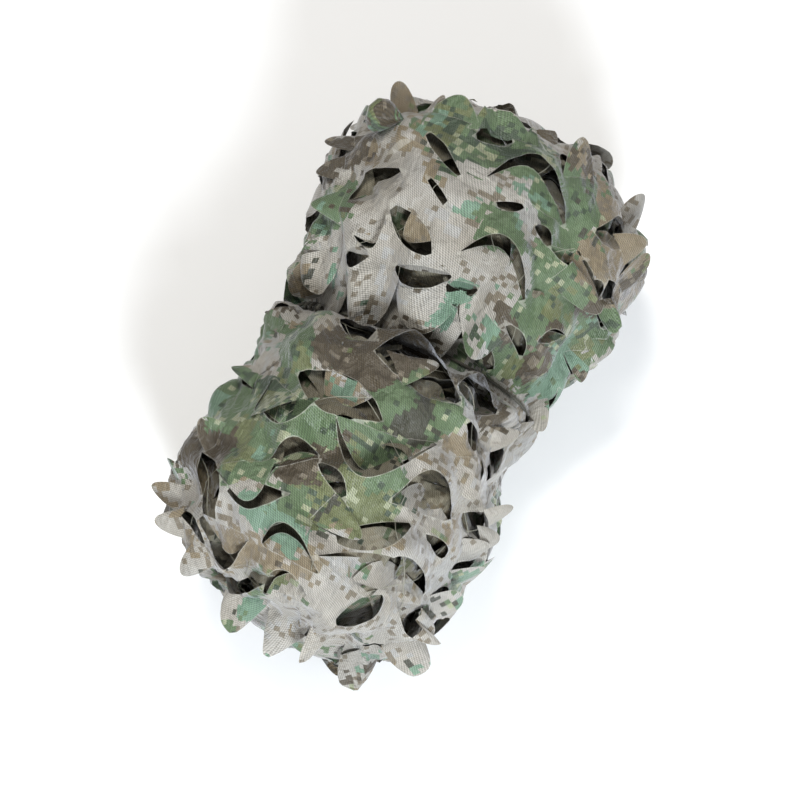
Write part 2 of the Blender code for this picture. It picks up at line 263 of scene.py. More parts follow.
def crumple(along, angle, size, seed):
    """Sharp little ridges from 0 to 1: 1 - |2n - 1| of smooth noise n on a lattice of that size,
    which closes on itself around the roll."""
    rows = int(FULL_LENGTH / size) + 3
    columns = max(4, int(round(2 * np.pi * RADIUS / size)))
    lattice = np.random.default_rng(seed).random((rows, columns))
    row, turn = along / size, (angle % 360) / 360 * columns
    i, j = np.floor(row).astype(int), np.floor(turn).astype(int)
    p, q = row - i, turn - j
    p, q = p * p * (3 - 2 * p), q * q * (3 - 2 * q)
    i, j = np.clip(i, 0, rows - 2), j % columns
    k = (j + 1) % columns
    noise = ((1 - p) * ((1 - q) * lattice[i, j] + q * lattice[i, k])
             + p * ((1 - q) * lattice[i + 1, j] + q * lattice[i + 1, k]))
    return 1 - np.abs(2 * noise - 1)


# %% [markdown]
# ## The cuts
# A cut is a curved slit with two tips. The line between the tips is a hinge: the leaf that the
# arch was cut around swings on it, out of the cloth or down into the roll, and leaves a hole of
# its own shape. A cut with no leaf is a plain slit pulled open into a lens.
#
# The cuts in sight are listed one by one, in metres and degrees. All the others stand in staggered
# rows like the real ones, since nothing tells one from the next.

# %% The cuts in sight
# along: from the tie, over the cloth. turn: of the hinge, from the long way of the roll.
# arch: how far the hole bows from the hinge. low: how far it bows on the other side.
# peak: where along the hinge the arch is highest. lift: how far the arch stands out.
# up: the leaf's angle at its hinge, in degrees. bend: how much more it turns by its tip.
Cut = namedtuple("Cut", ("along", "angle", "length", "turn", "arch", "low", "peak", "lift",
                         "up", "bend"))
SLIT = None     # in place of up: this cut has no leaf
HAND_CUTS = (
    # The far lobe: openings.
    Cut(0.168, 78, 0.062, 124, -0.007, 0.003, 0.42, 0.008, SLIT, 0),
    Cut(0.130, 82, 0.046, 128, -0.004, 0.002, 0.45, 0.006, SLIT, 0),
    Cut(0.124, 58, 0.066, 49, -0.016, 0.010, 0.41, 0.010, -42, 14),
    Cut(0.092, 77, 0.064, 122, 0.013, 0.012, 0.54, 0.011, SLIT, 0),
    Cut(0.164, 61, 0.032, 57, -0.002, 0.000, 0.57, 0.005, SLIT, 0),
    Cut(0.087, 63, 0.040, 39, 0.022, 0.000, 0.39, 0.009, -26, 8),
    Cut(0.059, 62, 0.026, 87, 0.009, 0.004, 0.49, 0.006, -50, 8),
    Cut(0.062, 85, 0.052, 75, 0.011, 0.002, 0.57, 0.010, -60, 14),
    Cut(0.064, 100, 0.029, 80, 0.018, 0.002, 0.46, 0.006, -60, 14),
    Cut(0.081, 109, 0.082, 99, -0.036, 0.000, 0.40, 0.013, -14, -2),
    Cut(0.140, 116, 0.030, 119, -0.008, 0.003, 0.44, 0.006, SLIT, 0),
    Cut(0.164, 109, 0.095, 91, -0.046, 0.000, 0.40, 0.012, -8, -6),
    Cut(0.152, 101, 0.034, 64, 0.008, 0.003, 0.51, 0.004, SLIT, 0),
    Cut(0.182, 143, 0.058, 75, -0.024, 0.010, 0.55, 0.010, -60, 20),
    Cut(0.138, 152, 0.036, 104, -0.010, 0.003, 0.57, 0.006, SLIT, 0),
    Cut(0.068, 142, 0.034, 48, -0.010, 0.005, 0.49, 0.008, -50, 10),
    Cut(0.040, 156, 0.032, 70, -0.012, 0.004, 0.50, 0.006, -50, 10),
    Cut(0.009, 119, 0.058, 104, -0.030, 0.000, 0.38, 0.010, -14, -6),
    Cut(0.213, 88, 0.036, 56, -0.012, 0.004, 0.58, 0.007, -50, 0),
    Cut(0.115, 144, 0.064, 79, -0.022, 0.000, 0.54, 0.008, -34, 8),
    Cut(0.142, 128, 0.050, 75, 0.013, 0.002, 0.50, 0.006, -34, 8),
    Cut(0.046, 128, 0.048, 120, -0.011, 0.002, 0.54, 0.006, SLIT, 0),
    # The far lobe: tongues that lie out over it.
    Cut(0.129, 129, 0.046, 17, 0.050, 0.000, 0.50, 0.003, 11, -18),
    # The near lobe: openings.
    Cut(-0.127, 80, 0.086, 97, 0.026, 0.026, 0.54, 0.012, SLIT, 0),
    Cut(-0.157, 69, 0.058, 66, 0.024, 0.004, 0.49, 0.011, -46, 12),
    Cut(-0.138, 103, 0.094, 71, 0.052, 0.000, 0.38, 0.013, -26, 0),
    Cut(-0.258, 50, 0.082, 152, -0.030, 0.014, 0.50, 0.010, SLIT, 0),
    Cut(-0.293, 42, 0.052, 131, -0.014, 0.004, 0.55, 0.008, SLIT, 0),
    Cut(-0.078, 104, 0.088, 100, -0.036, 0.010, 0.40, 0.010, -64, 14),
    Cut(-0.062, 130, 0.070, 72, -0.026, 0.008, 0.44, 0.008, -64, 14),
    Cut(-0.050, 76, 0.052, 112, -0.016, 0.002, 0.40, 0.008, -50, 10),
    Cut(-0.244, 75, 0.056, 71, 0.017, 0.006, 0.44, 0.009, SLIT, 0),
    Cut(-0.209, 94, 0.040, 125, -0.007, 0.004, 0.44, 0.007, SLIT, 0),
    Cut(-0.208, 80, 0.052, 52, -0.020, 0.000, 0.58, 0.010, -36, 8),
    Cut(-0.290, 92, 0.054, 93, -0.028, 0.000, 0.40, 0.011, -26, 8),
    Cut(-0.328, 70, 0.080, 62, 0.017, 0.008, 0.45, 0.011, -50, 14),
    Cut(-0.191, 127, 0.084, 76, -0.038, 0.000, 0.44, 0.013, -30, 10),
    Cut(-0.230, 113, 0.080, 50, 0.015, 0.007, 0.42, 0.014, SLIT, 0),
    Cut(-0.210, 141, 0.054, 94, -0.008, 0.003, 0.52, 0.006, SLIT, 0),
    Cut(-0.265, 134, 0.104, 72, -0.032, 0.004, 0.41, 0.012, -28, 6),
    Cut(-0.303, 124, 0.060, 30, 0.010, 0.009, 0.59, 0.010, SLIT, 0),
    Cut(-0.263, 152, 0.069, 67, 0.028, 0.002, 0.47, 0.010, -44, 8),
    Cut(-0.342, 168, 0.060, 2, -0.028, 0.004, 0.60, 0.008, SLIT, 0),
    Cut(-0.167, 155, 0.044, 107, -0.016, 0.008, 0.50, 0.009, -52, 10),
    Cut(-0.102, 130, 0.038, 118, -0.007, 0.002, 0.51, 0.006, SLIT, 0),
    Cut(-0.329, 93, 0.038, 53, -0.026, 0.000, 0.60, 0.006, -20, 6),
    # The near lobe: tongues that lie out over it.
    Cut(-0.078, 94, 0.034, 140, -0.036, 0.000, 0.50, 0.003, 14, -18),
    Cut(-0.119, 133, 0.044, 62, 0.034, 0.000, 0.50, 0.003, 9, -14),
    Cut(-0.140, 63, 0.050, 113, 0.036, 0.000, 0.50, 0.003, 12, -18),
    Cut(-0.223, 67, 0.060, 59, 0.036, 0.000, 0.50, 0.003, 11, -14),
    Cut(-0.233, 94, 0.036, 18, 0.040, 0.000, 0.50, 0.003, 13, -18),
)
print(len(HAND_CUTS), "cuts placed by hand")

# %% Tongues that make the outline
# along, angle, length across the hinge, turn, arch, up: as for a Cut.
Tongue = namedtuple("Tongue", ("along", "angle", "length", "turn", "arch", "up"))
TONGUE_BEND = -16       # they curl back towards the roll
TONGUES = tuple(Cut(t.along, t.angle, t.length, t.turn, t.arch, 0.0, 0.5, 0.0, t.up, TONGUE_BEND)
                for t in (
    # Around the far end, from the long edges to the other side.
    Tongue(0.216, 47, 0.036, 63, -0.029, 62), Tongue(0.225, 60, 0.044, 104, -0.018, 36),
    Tongue(0.215, 73, 0.056, 90, -0.020, 41), Tongue(0.221, 90, 0.060, 64, -0.028, 31),
    Tongue(0.229, 99, 0.014, 78, -0.017, 25), Tongue(0.217, 120, 0.042, 55, -0.033, 44),
    Tongue(0.226, 160, 0.036, 92, -0.034, 42), Tongue(0.182, 151, 0.036, 121, -0.024, 44),
    Tongue(0.161, 164, 0.038, 89, -0.037, 34), Tongue(0.133, 156, 0.026, 34, 0.031, 34),
    Tongue(0.090, 169, 0.028, 108, -0.026, 22), Tongue(0.082, 166, 0.026, 36, 0.028, 43),
    Tongue(0.022, 170, 0.024, 17, 0.028, 56), Tongue(-0.001, 159, 0.026, 53, 0.028, 24),
    # Down the side of the near lobe.
    Tongue(-0.077, 149, 0.028, 143, -0.026, 48), Tongue(-0.119, 158, 0.032, 84, -0.022, 41),
    Tongue(-0.155, 156, 0.020, 114, -0.024, 44), Tongue(-0.172, 162, 0.028, 135, -0.018, 44),
    Tongue(-0.192, 160, 0.032, 123, -0.024, 45), Tongue(-0.214, 170, 0.030, 101, -0.029, 50),
    Tongue(-0.250, 166, 0.038, 102, -0.026, 44), Tongue(-0.276, 154, 0.028, 175, -0.020, 45),
    # Around the near end.
    Tongue(-0.301, 160, 0.044, 12, 0.033, 50), Tongue(-0.350, 179, 0.050, 41, 0.034, 62),
    Tongue(-0.355, 124, 0.030, 89, 0.029, 60), Tongue(-0.383, 105, 0.044, 98, 0.037, 60),
    Tongue(-0.349, 74, 0.042, 100, 0.032, 62), Tongue(-0.318, 46, 0.028, 142, 0.024, 50),
    # Up the side of the long edges.
    Tongue(-0.290, 35, 0.028, 5, -0.022, 62), Tongue(-0.267, 28, 0.028, 25, -0.028, 51),
    Tongue(-0.248, 28, 0.022, 53, -0.021, 38), Tongue(-0.207, 47, 0.032, 16, -0.022, 54),
    Tongue(-0.131, 44, 0.028, 165, 0.023, 54), Tongue(-0.102, 46, 0.034, 115, 0.025, 10),
    Tongue(-0.061, 40, 0.032, 172, 0.024, 16), Tongue(0.097, 46, 0.042, 164, 0.024, 53),
    Tongue(0.139, 37, 0.030, 161, 0.026, 36), Tongue(0.172, 31, 0.032, 142, 0.025, 60),
    Tongue(0.050, 38, 0.044, 174, 0.025, 20), Tongue(0.031, 33, 0.036, 166, 0.025, 46),
))
# One leaf has rolled up tight, high on the far lobe, and pulled its hole shut.
KNOB = Cut(0.192, 51, 0.044, 95, -0.082, 0.0, 0.5, 0.0, 8, 330)
# Leaves of the far lobe's rim lie out towards the crease, and its gathers have shut their holes.
OVER_CREASE = (
    Cut(0.052, 90, 0.056, 80, 0.038, 0.0, 0.50, 0.0, 9, -12),
    Cut(0.001, 121, 0.038, 46, 0.044, 0.0, 0.50, 0.0, 9, -10),
    Cut(0.047, 68, 0.062, 78, 0.052, 0.0, 0.50, 0.0, 11, -14),
    Cut(0.056, 40, 0.054, 79, 0.038, 0.0, 0.50, 0.0, 10, -14),
    Cut(0.026, 92, 0.062, 71, 0.046, 0.0, 0.50, 0.0, 40, -34),
    Cut(0.028, 79, 0.048, 69, 0.042, 0.0, 0.50, 0.0, 40, -34),
    Cut(0.024, 48, 0.044, 75, 0.030, 0.0, 0.50, 0.0, 36, -30),
)
# A loose piece of cloth has slipped under the rim of each of the two widest openings.
SLIPPED_UNDER = (
    Cut(-0.103, 82, 0.050, 98, 0.046, 0.0, 0.50, 0.0, -12, -2),
    Cut(0.101, 81, 0.036, 122, 0.032, 0.0, 0.50, 0.0, -14, -2),
)
SHUT = (KNOB,) + OVER_CREASE + SLIPPED_UNDER
OTHER_PRINT = -150      # degrees around the roll to the piece of the print that these leaves show
OTHER_PIECE = (KNOB,) + SLIPPED_UNDER

# %% [markdown]
# Where the tie draws the net in, loose leaves of both lobes lie out over the crease and meet, so
# hardly any of the cord shows. On the sides and the ends leaves stand out freely.

# %% Leaves at the waist
GIRTH = (2 * column("half_width") + column("top") - column("bottom")) / 4   # mean radii
LIP_LEAVES = 15         # around each side of the waist
LIP_ALONG = 0.050       # from the tie to their hinges, over the cloth
LIP_APART = 0.026       # at least this far from a listed cut
KNOT_SEEN = (16, 50)    # angles between which no leaf hides the knot
CREVICE = (76, 172)     # angles between which the near lobe's leaves leave the crease open


def cut_radius(cut):
    """The mean radius of the roll at a cut, which turns its widths into angles."""
    return max(float(np.interp(cut.along + WAIST, KNOTS, GIRTH)), SMALLEST)


def around_gap(a, b):
    """How far apart two places on the cloth are, as the root of both squared distances."""
    return math.hypot(a.along - b.along, math.radians(wrapped(a.angle - b.angle)) * cut_radius(a))


def waist_leaves(seed, by_hand):
    """Two rings of leaves hinged on the rims of the lobes, pointing at the tie."""
    draw = np.random.default_rng(seed)
    cuts = []
    for way in (-1, 1):
        for place in range(LIP_LEAVES):
            shift, slide, longer, tilt, high, out = draw.random(6)
            angle = wrapped((place + 0.5 * shift + 0.25 * way) * 360 / LIP_LEAVES)
            cut = Cut(way * (LIP_ALONG + 0.012 * (slide - 0.5)), angle, 0.046 + 0.014 * longer,
                      90 + 34 * (tilt - 0.5), way * (0.030 + 0.012 * high), 0.0,
                      0.36 + 0.28 * shift, 0.0, 14 + 26 * out, -18 + 24 * (high - 0.5))
            clear = all(around_gap(cut, other) > LIP_APART for other in by_hand)
            hidden = KNOT_SEEN[0] < angle < KNOT_SEEN[1]
            dark = way < 0 and CREVICE[0] < angle < CREVICE[1]
            if clear and not hidden and not dark:
                cuts.append(cut)
    return cuts


# %% Rows of cuts
ROW_STEP, CUT_STEP = 0.044, 0.058      # from row to row, and from cut to cut around the roll
KEEP_APART = 0.036                     # between the middles of two cuts
STANDING = 0.30                        # share of the leaves that stand out
RIM_STANDING = 0.55                    # the same where they make the outline from above
COVERING = 0.45                        # share of the others that lie over their own holes
NO_CUTS_BELOW = 0.046                  # no cuts where the roll is thinner than this
NO_CUTS_NEAR = 0.040                   # nor nearer to the tie than this
QUIET_TO, QUIET_STANDING = 0.30, 0.10  # the calm part reaches this far, with this share standing
UNDER_SIDE = -15                       # below this angle a leaf makes no outline from above
ONE_WAY = 0.75                         # share of the arches that bow to the same side
Place = namedtuple("Place", ("along", "angle"))
WHOLE_CLOTH = (Place(0.203, 179), Place(-0.147, 20), Place(-0.100, 11), Place(-0.056, 23),
               Place(-0.191, 31), Place(-0.047, -169), Place(0.295, 3), Place(0.053, 179))
WHOLE_REACH = 0.016                    # no row has a cut this near to a place of whole cloth


def cut_rows(seed, by_hand, size=1.0, start=0.0, standing=STANDING, calm=()):
    """Staggered rows of cuts all over the roll, each a little uneven, kept clear of by_hand. In
    the calm range of angles fewer leaves stand out, and beside it more do, but their arches lie
    closer, since they're seen from the side."""
    draw = np.random.default_rng(seed)
    cuts = []
    for row, middle in enumerate(np.arange(0.030, FULL_LENGTH - 0.02, ROW_STEP * size) - WAIST):
        radius = float(np.interp(middle + WAIST, KNOTS, GIRTH))
        if abs(middle) < NO_CUTS_NEAR or radius < NO_CUTS_BELOW:
            continue
        count = max(4, int(round(2 * np.pi * radius / (CUT_STEP * size))))
        for place in range(count):
            shift, slide, longer, tilt, bow, low, flip, out, free, curl = draw.random(10)
            angle = wrapped(start + (place + 0.5 * (row % 2) + 0.3 * (shift - 0.5)) * 360 / count)
            way = -1 if flip < ONE_WAY else 1
            quiet = bool(calm) and calm[0] < angle < calm[1] and abs(middle) < QUIET_TO
            rim = bool(calm) and not quiet and angle > UNDER_SIDE
            stands = free < (QUIET_STANDING if quiet else RIM_STANDING if rim else standing)
            covers = not stands and curl < COVERING
            arch = way * (0.026 + 0.020 * bow) * size
            up = 12 + 26 * out if stands else 8 + 6 * out if covers else -46 + 24 * out
            cut = Cut(middle + 0.012 * (slide - 0.5), angle, (0.054 + 0.026 * longer) * size,
                      88 + 60 * (tilt - 0.5), arch, 0.006 * low, 0.34 + 0.32 * shift,
                      (0.004 if rim else 0.009) * (0.7 + 0.6 * out), up,
                      -20 if covers or stands else 30 * (curl - 0.5))
            clear = all(around_gap(cut, other) > KEEP_APART * size for other in by_hand)
            if clear and all(around_gap(cut, spot) > WHOLE_REACH for spot in WHOLE_CLOTH):
                cuts.append(cut)
    return list(by_hand) + cuts


placed = HAND_CUTS + TONGUES + SHUT
outer_cuts = cut_rows(3, placed + tuple(waist_leaves(8, placed)), calm=(34, 160))
print(len(outer_cuts), "cuts in the outer turn")

# %% [markdown]
# ## Cutting a turn of cloth
# A turn is a grid of points over the surface. Points inside a hole are left out, and the ones
# next to it are moved onto its outline, which gives clean curved edges without a boolean. The
# arch is lifted off the roll, so light and shadow do the rest.

# %% Cutting functions
SNAP = 0.62             # share of a grid step within which a point moves onto an outline
LIFT_REACH = 0.019      # how far from an arch the cloth is still lifted
SLIT_SHARP, ARCH_SHARP = 1.7, 3.2       # how drawn-out the tips of a flat and a high curve are
FLAT, SHARPER = 0.1, 4                  # up to this height it is flat, then this much sharper
TONGUE_FROM, TONGUE_SHARP = 0.62, 1.9   # an arch this high for its hinge is a round tongue
NEXT_PART = 0.002       # share of a hinge over which the slope of its arch is measured
FAR_OFF = 1.0           # metres: stands for nowhere near an outline
DIP = 0.35              # the cloth sinks on the hinge's side by this share of the lift
LEAN = 2.2              # how far an arch with its peak off the middle leans over to that side


def bell(part, cut):
    """0 at both tips and 1 at the peak: p^a (1 - p)^b scaled, where a and b share out how sharp
    the tips are. A flat slit is a lens, a higher arch has drawn-out tips, and a tongue is round."""
    high = abs(cut.arch) / cut.length
    sharp = min(SLIT_SHARP + SHARPER * max(high - FLAT, 0), ARCH_SHARP)
    sharp = sharp if high < TONGUE_FROM else TONGUE_SHARP
    part = np.clip(part, 0, 1)
    a, b = sharp * cut.peak, sharp * (1 - cut.peak)
    return part**a * (1 - part) ** b / (cut.peak**a * (1 - cut.peak) ** b)


def hinge_axes(cut):
    """The cosine and sine of the hinge's turn, and 1 or -1 for the side its arch is on."""
    turn = math.radians(cut.turn)
    return math.cos(turn), math.sin(turn), 1.0 if cut.arch > 0 else -1.0


def cut_open(along, angle, cuts, step):
    """Moves grid points onto the outlines of the cuts, straight across each outline. Returns the
    new places, which points lie in a hole, how far each is lifted, and its distance from the
    nearest outline. A step of 0 moves nothing and only gives the lift."""
    along, angle = along.copy(), angle.copy()
    gone = np.zeros(along.shape, bool)
    lift = np.zeros(along.shape)
    edge = np.full(along.shape, FAR_OFF)
    for cut in cuts:
        if cut in SHUT:
            continue
        reach = cut.length / 2 + abs(cut.arch) + 2 * LIFT_REACH
        right = along - (cut.along + WAIST)
        radius = cut_radius(cut)
        about = np.radians(wrapped(angle - cut.angle)) * radius
        near = np.nonzero((np.abs(right) < reach) & (np.abs(about) < reach))
        right, about = right[near], about[near]
        if not len(right):
            continue
        cos, sin, side = hinge_axes(cut)
        on, off = right * cos + about * sin, side * (about * cos - right * sin)
        lean = LEAN * (cut.peak - 0.5)
        part = (on - lean * off) / cut.length + 0.5
        on_line = (part > 0) & (part < 1)
        form, formed = bell(part, cut), bell(part + NEXT_PART, cut)
        slope = (formed - form) / (NEXT_PART * cut.length)
        arch, low = abs(cut.arch) * form, -cut.low * form
        arch_slope, low_slope = abs(cut.arch) * slope, -cut.low * slope
        to_arch = (off - arch) / np.hypot(arch_slope, 1 + lean * arch_slope)
        to_low = (low - off) / np.hypot(low_slope, 1 + lean * low_slope)
        outside = np.where(on_line, np.maximum(to_arch, to_low), FAR_OFF)
        by_arch = to_arch > to_low
        snapped = on_line & (np.abs(outside) < SNAP * step)
        slope = np.where(by_arch, arch_slope, low_slope)
        past = np.where(snapped, np.where(by_arch, to_arch, -to_low), 0)
        past = past / np.hypot(slope, 1 + lean * slope)
        new_on = on + past * slope
        new_off = (off - past * (1 + lean * slope)) * side
        along[near] = new_on * cos - new_off * sin + cut.along + WAIST
        moved = np.degrees((new_on * sin + new_off * cos) / radius) + cut.angle
        angle[near] += wrapped(moved - angle[near])
        gone[near] |= on_line & (outside < -SNAP * step)
        fade = np.sin(np.pi * np.clip(part, 0, 1)) ** 1.2
        rise = np.exp(-((np.maximum(off - arch, 0) / LIFT_REACH) ** 2)) * (off > arch / 2)
        dip = DIP * np.exp(-((np.minimum(off, 0) / LIFT_REACH) ** 2)) * (off <= arch / 2)
        lift[near] += cut.lift * fade * (rise - dip)
        edge[near] = np.minimum(edge[near], np.where(on_line, np.abs(outside) * ~snapped, FAR_OFF))
    return along, angle, gone, lift, edge


SEAM = -90.0            # the angle where the grid starts and ends, under the roll
SEEN_FROM, SEEN_TO = -12.0, 205.0      # the angles of the finer part of the grid


def turn_columns(fine, coarse):
    """Angles once around the roll from SEAM, fine degrees apart where the cloth is seen from
    above and coarse below."""
    parts = ((SEAM, SEEN_FROM, coarse), (SEEN_FROM, SEEN_TO, fine), (SEEN_TO, SEAM + 360, coarse))
    return np.concatenate([np.linspace(start, end, int((end - start) / step), endpoint=False)
                           for start, end, step in parts])


# %% [markdown]
# ## From a grid to a mesh
# The last column joins the first, and each end narrows to a small hole, 6 mm across at most. A
# face with one corner in a gap becomes a triangle. Faces carry a UV map in metres of cloth, for
# the print and the weave.

# %% Mesh functions
def mesh_object(name, points, faces, uvs, material, attributes=()):
    """An object from points, faces and one UV pair for each face corner, with smooth shading."""
    mesh = bpy.data.meshes.new(name)
    mesh.from_pydata(points.tolist(), [], faces)
    layer = mesh.uv_layers.new(name="cloth")
    layer.data.foreach_set("uv", np.asarray(uvs, dtype=np.float32).ravel())
    for title, values in attributes:
        mesh.attributes.new(title, "FLOAT", "POINT").data.foreach_set(
            "value", np.asarray(values, dtype=np.float32))
    mesh.polygons.foreach_set("use_smooth", np.ones(len(mesh.polygons), bool))
    mesh.materials.append(material)
    thing = bpy.data.objects.new(name, mesh)
    bpy.context.scene.collection.objects.link(thing)
    return thing


def ring_quads(rows, columns):
    """Corner numbers of all the quads of a grid that closes around."""
    i, j = np.meshgrid(np.arange(rows - 1), np.arange(columns), indexing="ij")
    k = (j + 1) % columns
    return np.stack([i * columns + j, i * columns + k, (i + 1) * columns + k,
                     (i + 1) * columns + j], axis=-1).reshape(-1, 4)


def grid_faces(rows, columns, gone):
    """The faces of a grid that closes around: whole quads, and triangles where exactly one
    corner is gone."""
    corners = ring_quads(rows, columns)
    here = ~gone.ravel()[corners]
    quads = corners[here.all(axis=1)]
    three = corners[here.sum(axis=1) == 3]
    there = here[here.sum(axis=1) == 3]
    triangles = three[there].reshape(-1, 3)
    return quads, triangles


# %% [markdown]
# ## How deep a turn lies
# The CAD outline goes around the tips of the loose leaves, so the cloth itself lies further in at
# the ends and the sides. Each deeper turn lies further in still, and all of them are creased.

# %% Depth and creases
# sink: how deep it lies. room: how far a leaf may drop. wrinkle: the height of its creases.
Turn = namedtuple("Turn", ("cuts", "sink", "room", "wrinkle", "seed"))
CREASE_SEED = 21        # the turns share their large creases, since they were rolled together
Dent = namedtuple("Dent", ("along", "angle", "radius", "depth"))
DENTS = (
    Dent(-0.322, 2, 0.070, 0.020), Dent(-0.350, -66, 0.075, 0.026),
    Dent(-0.325, -120, 0.070, 0.019), Dent(-0.305, -172, 0.045, 0.012),
    Dent(-0.055, 172, 0.045, 0.016), Dent(-0.100, 10, 0.060, 0.009),
    Dent(0.262, 42, 0.060, 0.022), Dent(0.276, 98, 0.060, 0.019),
    Dent(0.262, 155, 0.038, 0.022), Dent(0.050, -163, 0.040, 0.014),
)
DRAWN_NEAR, DRAWN_FAR = 0.014, 0.012        # at the ends
DRAWN_EDGES_NEAR, DRAWN_EDGES_FAR = 0.016, 0.013    # on the side of the long edges
DRAWN_OTHER = 0.012                         # on the other side of the near lobe
NEAR_FADE, FAR_FADE = (0.06, 0.16), (0.05, 0.13)    # distances from each end
SIDE_FADE = (0.02, 0.08)                    # distances from the tie, and half widths
EDGES_MIDDLE = 4                            # the angle in the middle of that side
FLOOR_FADE = (0.003, 0.030)                 # heights over the ground
LARGE, SMALL, SLANTING = 0.046, 0.021, 0.015    # sizes of the creases
SMALL_SHARE, STREAK_SHARE, STREAK_SLANT, STREAK_PULL = 0.7, 0.55, 300, 0.4
SKIN = 0.0004                               # how far inside the CAD surface the outer turn starts
GROUND_GAP, DEEPER_GAP = 0.0006, 0.6        # off the ground, and more by this share of the sink
RUMPLED, RUMPLED_IN, RUMPLED_OUT = 0.7, (-20, 0), (38, 52)  # more creased, between these angles
CLOSING = (0.020, 0.085)                    # half widths between which creases come in
LOOSE_AT, DEEP_AT = 0.03, 0.02              # distances from the tie at which each stands full


def drawn_in(along, angle):
    """How far all turns lie inside the CAD surface, whose outline goes around the tips of the
    loose leaves: the ends, the sides and a few dents, faded to nothing where the roll lies."""
    from_tie = along - WAIST
    total = DRAWN_NEAR * (1 - ramp(along, *NEAR_FADE))
    total = total + DRAWN_FAR * (1 - ramp(FULL_LENGTH - along, *FAR_FADE))
    edges_side = ramp(np.cos(np.radians(angle - EDGES_MIDDLE)), 0.45, 0.90)
    other_side = ramp(-np.cos(np.radians(angle)), 0.55, 0.90)
    whole = ramp(smooth_through(column("half_width"), along), *SIDE_FADE)
    sides = edges_side * (DRAWN_EDGES_NEAR * ramp(-from_tie, *SIDE_FADE)
                          + DRAWN_EDGES_FAR * ramp(from_tie, *SIDE_FADE))
    sides = sides + other_side * DRAWN_OTHER * ramp(-from_tie, *SIDE_FADE)
    for dent in DENTS:
        about = np.radians(wrapped(angle - dent.angle)) * RADIUS
        away = ((from_tie - dent.along) ** 2 + about**2) / dent.radius**2
        sides = sides + dent.depth * np.exp(-away)
    clear = ramp(plain_surface(along, angle)[..., 2], *FLOOR_FADE)
    return (total + whole * sides) * clear


def turn_height(turn, along, angle, lift):
    """How far a turn stands off the plain surface: its folds, its creases (two sizes and slanting
    streaks, deeper on the side of the long edges), the lift of its cuts, less how deep it lies.
    All but the folds fade out under the tie."""
    away = np.abs(smooth_through(column("x"), along))
    loose = ramp(away, LAND, LOOSE_AT)
    slant = angle + STREAK_SLANT * along
    rumpled = 1 + RUMPLED * ramp(angle, *RUMPLED_IN) * (1 - ramp(angle, *RUMPLED_OUT))
    creases = (crumple(along, angle, LARGE, CREASE_SEED) - 0.5
               + SMALL_SHARE * (crumple(along, angle, SMALL, CREASE_SEED + 1) - 0.5)
               + STREAK_SHARE * (crumple(STREAK_PULL * along, slant, SLANTING, turn.seed) - 0.5))
    closing = ramp(smooth_through(column("half_width"), along), *CLOSING)
    height = folds(along, angle) + loose * (lift + turn.wrinkle * rumpled * closing * creases)
    deep = turn.sink * ramp(away, 0.5 * LAND, DEEP_AT) + drawn_in(along, angle) * loose
    return height - deep - SKIN


def on_turn(turn, along, angle, lift):
    """Points of a turn, kept off the ground, where deeper turns are kept higher."""
    height = turn_height(turn, along, angle, lift)
    points = plain_surface(along, angle) + outward(along, angle) * height[..., None]
    points[..., 2] = np.maximum(points[..., 2], GROUND_GAP + DEEPER_GAP * turn.sink)
    return points


# %% [markdown]
# ## Leaves
# A leaf is the cloth that its cut set free. It has the shape of the hole, it keeps the print that
# was there, and it swings on the hinge. Walking out from the hinge, its slope turns evenly from
# the angle it starts at, so it curls like real cloth and doesn't stand like a card.

# %% Leaf function
LEAF_LONG, LEAF_OUT = 14, 8      # faces along the hinge, and from the hinge to the tip
RAISED_LENGTH = 1.18            # of the arch, for a leaf that stands out of the cloth
SUNK_LENGTH = 0.80              # the same for one that has dropped in, frayed and curled
LEAF_TWIST = 22.0               # degrees by which one end of the hinge stands higher
TIP_GAP = 0.015                 # share of the hinge left at each tip
LEAF_CLEAR = 0.001              # leaves stay this far off the ground, and off the ends
SHORT_STEP = 0.0015             # the way across the hinge is measured over this distance


